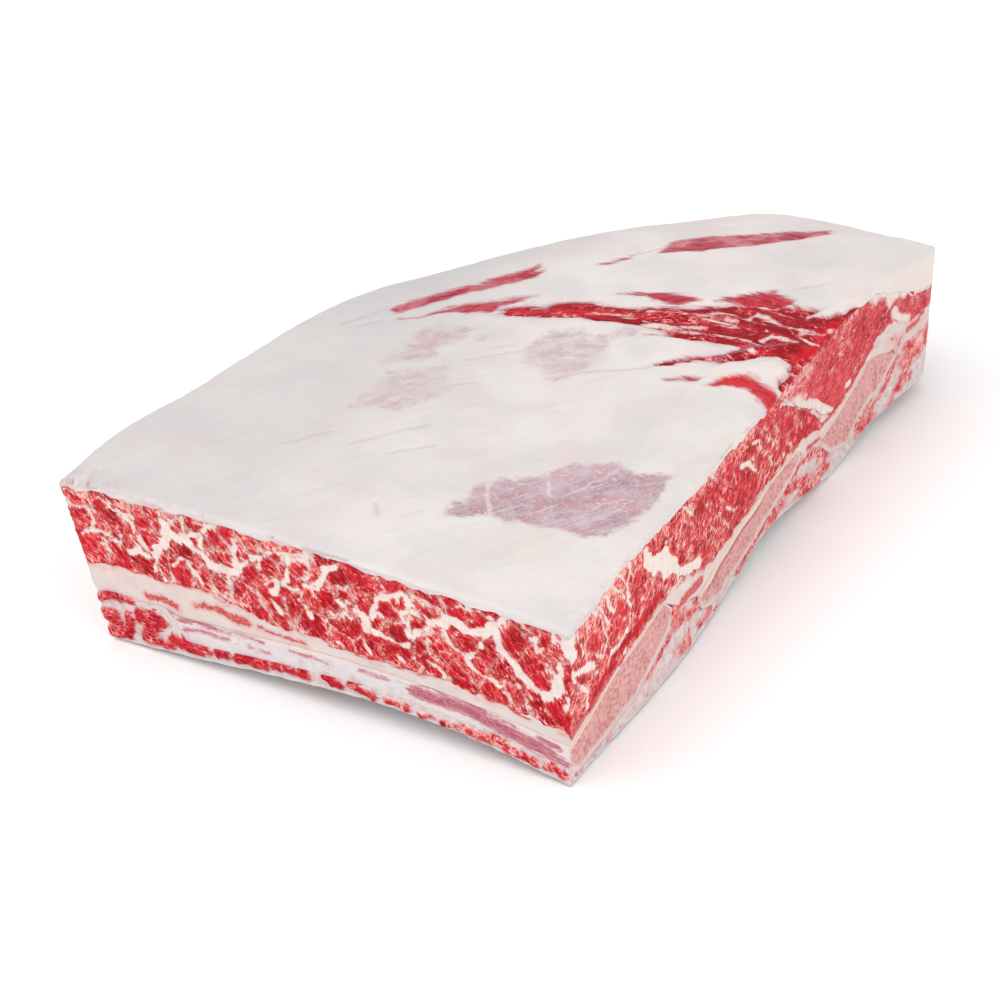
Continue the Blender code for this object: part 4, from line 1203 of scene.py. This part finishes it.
def seamSurface(side, flat, shares):
    x, y, z = flat.T
    if side in ("top", "bottom"):
        return {}
    a = x if side in ("front", "back") else y
    tissue = [np.full(len(x), -3.0)]
    grey = 0.3 * flatNoise(a, z, (14.0, 4.0), 74)
    under = meatBorder(x, y) + 0.6 - z
    fringe = 1.5 * flatNoise(a, z, (4.0, 1.2), 89) + 0.2 - under * 0.8
    if side == "front":
        tissue = [lineReach(x, z + 0.4 * flatNoise(x, z, 3, 71), seamFat["frontRed"])]
    if side == "right":
        above = z - ribTop(x, y) - 0.7 + 0.4 * flatNoise(y, z, 3.0, 94)
        blush = 0.9 * flatNoise(y, z, (7.0, 3.0), 96) + 0.5 * flatNoise(y, z, (2.4, 1.6), 97) - 0.9
        tissue = [lineReach(y, z, seamFat["sideRed"]), np.where(y < -76.0, above * 1.5, -3.0),
                  np.where(y > 56.0, blush, -3.0)]
        grey = grey + 0.4 * ease(y, 60.0, 90.0)
        fringe = fringe + 0.8 * ease(-y, -56.0, -46.0)
    lift = 0.35 * flatNoise(a, z, (16.0, 5.0), 72) + 0.2 * flatNoise(a, z, (5.0, 2.0), 73) - 0.1
    return {"tissue": np.max([*tissue, np.where(under < 3.0, fringe, -3.0)], axis=0),
            "lift": lift + tucked(shares, seamFat["rows"], 0.4), "pale": grey}


def makeSeams():
    def place(s, u, v):
        x, y = alongRibs(s), acrossRibs(u)
        low = ribUnder(x, y) - 1.0 + slab["ribLip"] * ease(-x, slab["squeezeStart"], 60.0) * overLip(y)
        return x, y, between(low, meatBorder(x, y) + 0.6, v)
    makePiece("ribSeamFat", seamFat, place, seamSurface, "seam", "rib_seam_fat")

    def placeDivider(s, u, v):
        x = alongRibs(s)
        y = between(divideFront(x, v) - 0.3, divideBack(x, v) + 0.3, u)
        return x, y, between(meatBorder(x, y) - 0.3, capUnder(x, y) - 0.1, v)

    def dividerSurface(side, flat, shares):
        y, z = flat[:, 1], flat[:, 2]
        red = {"tissue": 2.2 * flatNoise(y, z, (4.5, 3.0), 79) - 0.5} if side == "right" else {}
        return {**red, "lift": 0.3 * flatNoise(y, z, 6.0, 75) - 0.25}
    makePiece("dividerFat", divider, placeDivider, dividerSurface, "seam", "divider_fat")


makeSeams()


def tongueShare(x, y):  # how near the thick end of the white tongue a place lies
    return np.exp(np.minimum(lineReach(x, y, cap["tongue"]), 0.0) / 3.0)


def capSide(x, y, z, opened):  # opened: mm inside a streak that runs over the edge
    hang = ease(-z, -capUnder(x, y) - 1.0, -capUnder(x, y) + 1.6)
    pink = 0.6 * flatNoise(x + y, z, 5.0, 85) + 1.5 * ease(-x, 70.0, 84.0) * ease(-y, 120.0, 132.0)
    film = 2.6 * flatNoise(x + y, z, (16.0, 6.0), 98) + 0.4 - 9.0 * ease(y, -100.0, -60.0)
    return {"tissue": np.maximum(hang * 1.6 - 2.6 + pink, opened), "mark": -3.0,
            "veil": np.where(opened > -2.0, -4.0, film), "pale": np.where(opened > -2.0, 0.0, 0.3),
            "tone": -0.6 * ease(y, 70.0, 100.0),
            "lift": 0.35 - 0.4 * ease(y, 76.0, 90.0) + 0.4 * flatNoise(x + y, z, (5.0, 1.5), 83)}


def capTop(x, y, streak, dull):
    reach = windowReach(x, y)
    veil, strength = gradedReach(x, y, cap["veils"])
    streak = streak + 0.5 * flatNoise(x, y, 3.0, 86)
    strength = np.where(streak > -2.6, dull, strength)
    veil = np.where(streak > -2.6, np.minimum(veil, -4.0), veil)
    crease = lineReach(x + 0.5 * flatNoise(x, y, 5, 87), y, cap["creases"])
    scratch = lineReach(x + 0.8 * flatNoise(x, y, 3, 92), y, cap["scratches"]) - 0.3
    rosy = lineReach(x, y, cap["rosyEdge"]) + 0.5 * flatNoise(x, y, 4.0, 95)
    # painted shade where the top turns away from the light towards the far left and back; near the tongue's
    # thick end it drops below zero, which paints a cream tint
    far = ease(-x - 0.2 * y, 0.0, 70.0) * (0.5 + 0.4 * ease(y, -40.0, 40.0))
    far = far - 0.7 * ease(tongueShare(x, y), 0.4, 0.9) * ease(x, 66.0, 80.0)
    lift = 0.5 * flatNoise(x, y, (34.0, 26.0), 84) + 0.18 * flatNoise(x + y, y - x, (9.0, 22.0), 88)
    lift -= 0.35 * ease(veil, -2.0, 3.0) * strength + 0.4 * ease(crease, -1.2, 0.2)
    lift -= 0.5 * ease(streak, -1.5, 1.5)
    return {"tissue": np.max([reach - 0.3, streak, rosy], axis=0), "veil": veil, "pale": strength,
            "tone": far, "mark": np.maximum(crease, np.where(veil > -1.0, scratch, -9.0)),
            "lift": lift * (1.0 - ease(reach, -1.0, 1.0))}


def makeCap():
    def place(s, u, v):
        y = acrossRibs(u)
        bare = ease(windowReach(np.full(len(y), slab["halfLength"]), y), -2.0, 1.0)
        edgeIn = bare * cap["edgeIn"] * ease(s, 0.9, 1.0)  # the window runs out over the right edge
        x = alongRibs(s) - edgeIn
        reach, tongue = windowReach(x, y), tongueShare(x, y)
        thick = slabTop(y) - capUnder(x, y)
        slope = ease(reach, -cap["windowSlope"] * (1.0 - cap["tongueSteep"] * tongue), 0.3) ** 1.2
        away = np.minimum(edgeAway(x, y), slab["halfLength"] - edgeIn - x)
        away = np.clip(away / cap["edgeRound"], 0.0, 1.0)
        rounding = cap["edgeRound"] * (1.0 - np.sqrt(1.0 - (1.0 - away) ** 2))
        top = slabTop(y) + cap["tongueLift"] * tongue * (1.0 - slope) - cap["roundBy"] * rounding
        top -= slope * (np.minimum(thick, cap["lip"]) - cap["film"])
        top -= ease(reach, 0.1, 1.4) * (cap["film"] + cap["sink"])
        top -= ease(reach, -4.0, 1.4) * np.maximum(thick - cap["lip"], 0.0)
        inner = np.maximum(ease(edgeAway(x, y), 0.5, 6.0), ease(reach, -0.5, 1.4))
        bottom = np.minimum(capBorder(x, y) - 0.3 - cap["thicker"] * inner, top - cap["thinnest"])
        return x, y, between(bottom, top, v)

    def surface(side, flat, shares):
        x, y, z = flat.T
        streak, dull = gradedReach(x, y, cap["streaks"])
        return capTop(x, y, streak - 0.6, dull) if side == "top" else capSide(x, y, z, streak - 0.6)
    makePiece("fatCap", cap, place, surface, "cap", "fat_cap")


makeCap()

bones = {
    "rows": [(190, 130, 18), (60, 130, 20), (60, 110, 20)], "spacing": 7.0,
    "lumps": (6.0, 0.12), "pits": (1.2, 0.12),
    "upper": [[(-139.6, 13.2), (-134, 14.9), (-127, 17.5), (-114, 21.5), (-95, 24.5), (-79, 27.5), (-73, 22)],
              [(-52, 14), (-33, 18.5), (-14, 21.5), (7, 23.5), (27, 25.5), (31, 22)],
              [(50, 19.6), (64, 23.5), (76, 27.5), (86, 32.5), (96, 30.5), (108, 26)]],
    "lower": [[(-139.6, 5.2), (-135.5, 2.4), (-120, 3.4), (-100, 5.6), (-91, 9.6), (-79, 13.6), (-73, 20.8)],
              [(-52, 12.6), (-51, 8.8), (-44, 6), (-35, 4.7), (-13, 6.7), (4, 10.7), (24, 15.7), (31, 20.8)],
              [(50, 16), (51, 14.6), (58, 9.1), (71, 5.7), (82, 12.6), (99, 16.6), (108, 24.6)]],
    "marrow": [(2.0, [(33, 9.4), (44, 10), (53, 10), (63, 8.8), (73, 8.4), (79, 8)]),
               (0.5, [(36, 13.4), (48, 13.0), (58, 12.4)]),
               (0.3, [(-40, 12), (-30, 12.6), (-22, 11.5)]), (0.1, [(-12, 11), (2, 10.4)]),
               (0.8, [(76, 11.5), (82, 11)]), (0.9, [(82, 7), (85, 6.5)]), (0.4, [(60, 12), (68, 11.6)]),
               (0.5, [(-55, 12.4), (-48, 13.2), (-40, 12.4)]), (0.3, [(-53, 9.6), (-44, 10.6), (-36, 9.4)]),
               (0.1, [(-28, 9), (-20, 8)]), (0.2, [(14, 11), (24, 10.6)])],
}


def makeBone(number):
    upper, lower = (lineThrough(bones[key][number]) for key in ("upper", "lower"))
    first, last = bones["upper"][number][0][0], bones["upper"][number][-1][0]

    def place(s, u, v):
        x = alongRibs(s)
        y = between(first, last, u)
        if number:
            return x, y, between(lower(y), upper(y), v)
        raised = 2.8 * ease(-x, 52.0, 86.0) * ease(-y, 127.0, 139.6)
        return x, ribSqueeze(x, y), between(lower(y), upper(y) + raised, v)

    def surface(side, flat, shares):
        x, y, z = flat.T
        if side in ("left", "right"):
            film = 0.9 * ease(lower(y) - z, -4.6, -0.6)
            streak = ease(y, -50.0, -42.0) * ease(-y, -6.0, 8.0) if number == 1 else 0.0
            rim = upper(y) - z + (4.0 * ease(y, 82.0, 92.0) if number == 2 else 0.0)
            return {"tissue": y - first, "pale": film, "mark": rim, "tone": streak,
                    "lift": 0.1 + 0.3 * flatNoise(y, z, (9, 5), 91)}
        marks = 0.8 * ease(lineReach(x, z, bones["marrow"]), -2.0, 1.2) if side == "front" else 0.0
        return {"veil": 1.0, "tone": marks, "mark": 14.2 - z, "lift": 0.3 * flatNoise(x, z, (14, 5), 92)}
    settings = {**bones, "rows": bones["rows"][number], "spans": (172, last - first, 12),
                "fine": ("right", "left") if number else ("front", "right", "left")}
    makePiece("ribBone%d" % (number + 1), settings, place, surface, "bone",
              "rib_bone_%d" % (number + 1))


for number in range(len(bones["rows"])):
    makeBone(number)

ribMeat = {
    "rows": [(286, 10, 22), (60, 130, 24), (60, 150, 26), (150, 110, 30)], "spacing": 7.0,
    "fine": [("front", "right", "left"), ("right", "left"), ("right", "left"), ("right", "left", "back")],
    "fibreAngle": {"front": -20.0, "right": 40.0, "left": 40.0, "back": -30.0}, "fibreSway": 1.2,
    "lumps": (3.6, 0.35), "pits": (1.2, 0.16), "plain": {"tissue": -1.0, "veil": -3.0, "mark": -3.0},
    "strip": {"start": -139.9, "face": 39.6, "heel": 35.5, "furthest": -136.4,
              "height": 5.4, "leftRise": 9.4},
    "upper": [None,
              [(-134, 2.3), (-120, 3.2), (-100, 6.2), (-90.8, 10), (-78.4, 14), (-72.2, 22.2), (-66, 19),
               (-58, 16.8), (-53.4, 15), (-53, 13), (-51.8, 9), (-44.6, 6.4), (-40, 5.4), (-35, 4.7),
               (-29.8, 5.2)],
              [(-29.4, 5.2), (-22, 6.0), (-13, 7.2), (4.2, 11.2), (24.4, 16), (31.9, 21.6), (38, 20.2),
               (46, 19.8), (49.2, 19), (50.2, 15.4), (57.4, 9.6), (66, 7.6), (70.8, 6.1)],
              [(71.2, 6.1), (77, 9.6), (82.4, 13), (99.6, 17), (109.2, 25.6), (116, 26), (128, 27),
               (140, 27)]],
    "sideRed": [None,
                [(1.6, [(-71, 15), (-62, 13.5), (-54, 11.5)]), (1.3, [(-59, 18), (-50, 17.6)]),
                 (0.9, [(-93, 9), (-84, 10.6), (-76, 13)]), (1.5, [(-53, 4), (-44, 4.6)])],
                [(1.8, [(-20, 5), (-10, 7.4), (2, 9)]), (1.4, [(10, 10.4), (18, 11)]),
                 (2.4, [(22, 13.5), (30, 11), (38, 8.4)]), (1.4, [(28, 19), (35, 18)]),
                 (1.8, [(38, 18.6), (47, 15.4)]), (1.5, [(48, 6.4), (57, 4.8)])],
                [(1.2, [(86, 9.5), (100, 13.6)]), (1.6, [(101, 14), (107, 19), (110, 23)]),
                 (4.4, [(117, 20), (126, 21), (136, 21)]), (2.0, [(112, 10), (122, 11)])]],
    "frontBlobs": [(1.5, [(-86, 13.5), (-81, 15.4), (-77, 15.4)]), (0.8, [(-76, 15.8), (-71, 15.6)]),
                   (2.6, [(-86, 8.5), (-81, 8), (-80, 4.5), (-84, 2.5)]), (2.0, [(-77, 3.6), (-75.5, 9)]),
                   (3.6, [(-68.5, 10), (-66.5, 9)]), (3.2, [(-66, 11), (-63, 10.5)]),
                   (2.4, [(-68, 6.5), (-64, 8)]), (1.6, [(-71, 3.4), (-60, 3.0)]),
                   (2.2, [(-59, 6), (-54, 4.6), (-50, 4.2), (-45, 3.6)]), (2.0, [(-41, 4.6), (-37, 4.8)]),
                   (2.0, [(-33, 4), (-29, 4.6), (-23, 4.2)]), (1.8, [(-18, 4.4), (-11, 3.8), (-7, 3.4)]),
                   (1.8, [(1, 4.4), (6, 3.2)]), (1.7, [(10, 4.4), (18, 2.9)]), (1.2, [(23, 2.8), (30, 2.4)]),
                   (1.2, [(36, 2.2), (39, 2.2)]), (1.3, [(43, 2.6), (48, 2.6)]),
                   (1.9, [(52, 2.8), (62, 3.1), (68, 2.8)]), (1.7, [(71, 3.0), (75, 2.8)]),
                   (1.7, [(78, 3.2), (84, 3.0)]), (0.5, [(-56, 15.6), (-50, 15), (-45, 14)])],
}


def makeRibMeat(number):
    counts = ribMeat["rows"][number]

    def placeStrip(s, u, v):
        x = alongRibs(s)
        shrink, strip = squeeze(x), ribMeat["strip"]
        face = slab["squeezeFrom"] - strip["face"] * shrink + 1.2
        heel = slab["squeezeFrom"] - strip["heel"] * shrink + 0.8
        end = between(heel, np.maximum(face, strip["furthest"]), np.clip(v * 1.6, 0.0, 1.0))
        y = between(strip["start"], end, u)
        height = strip["height"] + (strip["leftRise"] + 1.6 * leftness(x)) * ease(-x, 53.0, 60.0)
        return x, y, between(slabBase(y) + slab["liningToMeat"], height, v)

    def placeGap(s, u, v):
        points = ribMeat["upper"][number]
        x = alongRibs(s)
        y = between(points[0][0], points[-1][0], u)
        return x, ribSqueeze(x, y), between(slabBase(y) + slab["liningToMeat"], lineThrough(points)(y), v)

    def surface(side, flat, shares):
        x, y, z = flat.T
        tuck = tucked(shares, counts, 0.35) - 0.2
        if side in ("top", "bottom"):
            return {}
        if side == "front" and number == 0:
            blobs = lineReach(x, z + 0.7 * flatNoise(x, z, 3.0, 101), ribMeat["frontBlobs"])
            blobs += 0.8 * flatNoise(x, z, 2.6, 102) + 0.4 * flatNoise(x, z, 1.4, 108)
            return {"tissue": -0.8 * blobs, "tone": 0.2 * flatNoise(x, z, 5, 103),
                    "pale": 0.7 * ease(x, -10.0, 60.0) + 0.3 * ease(-x, 58.0, 66.0) - 0.4,
                    "lift": 1.1 * ease(blobs, -0.8, 1.2) + tuck}
        a = x if side in ("back", "front") else y
        red = 2.6 * flatNoise(a, z, (9.0, 5.0), 104) - 0.5
        if side == "right" and number:
            red = np.maximum(red - 0.3, lineReach(y, z, ribMeat["sideRed"][number]))
        red = red + 0.8 * flatNoise(a, z, (2.6, 2.2), 105)
        swell = 0.5 * ease(red, -1.0, 1.0) + 0.3 * flatNoise(a, z, (8.0, 5.0), 106)
        return {"tissue": -0.55 * red, "pale": 0.6, "tone": 0.2 * flatNoise(a, z, 6, 107),
                "lift": swell + tuck}
    settings = {**ribMeat, "rows": counts, "fine": ribMeat["fine"][number],
                "spans": (172, 90 if number else 4, 12)}
    makePiece("ribMeat%d" % (number + 1), settings, placeGap if number else placeStrip, surface,
              "ribMeat", "intercostal_meat_%d" % (number + 1))


for number in range(len(ribMeat["rows"])):
    makeRibMeat(number)

lining = {
    "rows": (172, 280, 2), "fine": ("bottom", "front", "right", "left", "back"), "spans": (172, 280, 2),
    "spacing": 8.0, "fibreCentre": (900.0, 0.0), "fibreRadius": 900.0, "lumps": (4.0, 0.25),
    "pits": (1.5, 0.1), "openSides": ("bottom",), "plain": {"tissue": -3.0},
    "ribs": [(-107.0, 30.0), (-12.0, 36.0), (80.0, 28.0)],  # each rib's middle, half its width
}


def makeLining():
    def place(s, u, v):
        x, y = alongRibs(s), acrossRibs(u)
        ragged = 0.35 * flatNoise(x, y, 6.0, 111) + 0.25 * flatNoise(x, y, 2.2, 112)
        low = slabBase(y) + (1.0 - ease(edgeAway(x, y), 0.0, 3.0)) * np.abs(ragged)
        return x, y, between(low, slabBase(y) + slab["lining"] + 0.5, v)

    def surface(side, flat, shares):
        x, y, z = flat.T
        if side == "bottom":
            away = np.min([np.abs(y - centre) - half for centre, half in lining["ribs"]], axis=0)
            red = away * 0.12 + 0.9 * flatNoise(x, y, (26.0, 7.0), 113) - 0.5
            lift = -0.3 * ease(away, -4.0, 4.0) + 0.25 * flatNoise(x, y, (30.0, 8.0), 114)
            return {"tissue": np.clip(red, -3.0, 0.25), "lift": lift, "pale": ease(-away, 0.0, 10.0) * 0.4}
        pink = {"tissue": 1.2 * flatNoise(x + y, z, (8.0, 2.0), 116) - 0.9} if side == "right" else {}
        return {**pink, "lift": 0.2 * flatNoise(x, y, 4.0, 115)
                + tucked(shares, lining["rows"], 0.5) * (shares[:, 2] > 0.6)}
    makePiece("ribLining", lining, place, surface, "lining", "rib_membrane")


makeLining()

# The view in mm, and the light and the floor in metres.
view = {"place": (354.14, -668.69, 441.87), "azimuth": 28.77, "elevation": 30.43, "lens": 93.6,
        "sensor": 36.0, "nearest": 10.0}
studio = {
    "lamps": {"keyLight": ((-0.5, -0.7, 1.3), 1.5, 9.0), "sideLight": ((1.1, -0.5, 0.5), 0.7, 4.0)},
    "aim": (0.0, 0.0, 0.03), "daylight": 0.86, "floorHalf": 6.0, "floorGap": 0.0002,
    "floorLooks": ((250, 250, 250), (253, 253, 253)), "floorRough": 0.9, "cloudSize": 0.4,
}


def makeCamera():
    azimuth, elevation = math.radians(view["azimuth"]), math.radians(view["elevation"])
    back = Vector((math.sin(azimuth) * math.cos(elevation), -math.cos(azimuth) * math.cos(elevation),
                   math.sin(elevation)))
    right = Vector((math.cos(azimuth), math.sin(azimuth), 0.0))
    pose = Matrix((right, back.cross(right), back)).transposed().to_4x4()
    pose.translation = Vector(view["place"]) * mm
    camera = bpy.data.objects.new("camera", bpy.data.cameras.new("camera"))
    camera.data.lens = view["lens"]
    camera.data.sensor_width = view["sensor"]
    camera.data.clip_start = view["nearest"] * mm
    camera.matrix_world = pose
    bpy.context.scene.collection.objects.link(camera)
    bpy.context.scene.camera = camera


def makeLight(name, place, size, power):
    light = bpy.data.lights.new(name, "AREA")
    light.shape = "DISK"
    light.size = size
    light.energy = power
    lamp = bpy.data.objects.new(name, light)
    lamp.location = place
    aim = Vector(studio["aim"]) - Vector(place)
    lamp.rotation_euler = aim.to_track_quat("-Z", "Y").to_euler()
    bpy.context.scene.collection.objects.link(lamp)


def makeStudio():
    mesh = bpy.data.meshes.new("floor")
    half = studio["floorHalf"]
    mesh.from_pydata([(-half, -half, 0), (half, -half, 0), (half, half, 0), (-half, half, 0)], [],
                     [(0, 1, 2, 3)])
    recipe = Recipe("paleFloor")
    shade = recipe.noise(recipe.node("ShaderNodeTexCoord", {}, {}, 3), studio["cloudSize"])
    recipe.put(recipe.shader, {"Base Color": recipe.blend(shade, *studio["floorLooks"]),
                               "Roughness": studio["floorRough"]})
    mesh.materials.append(recipe.material)
    floor = bpy.data.objects.new("floor", mesh)
    floor.location = (0.0, 0.0, min(cadBox[0][2], 0.0) - studio["floorGap"])
    bpy.context.scene.collection.objects.link(floor)
    world = bpy.data.worlds.new("studio")
    world.use_nodes = True
    sky = world.node_tree.nodes["Background"].inputs
    sky["Color"].default_value = (1.0, 1.0, 1.0, 1.0)
    sky["Strength"].default_value = studio["daylight"]
    bpy.context.scene.world = world
    for name, (place, size, power) in studio["lamps"].items():
        makeLight(name, place, size, power)
    bpy.context.scene.view_settings.view_transform = "Standard"


makeCamera()
makeStudio()

print("scene ready")
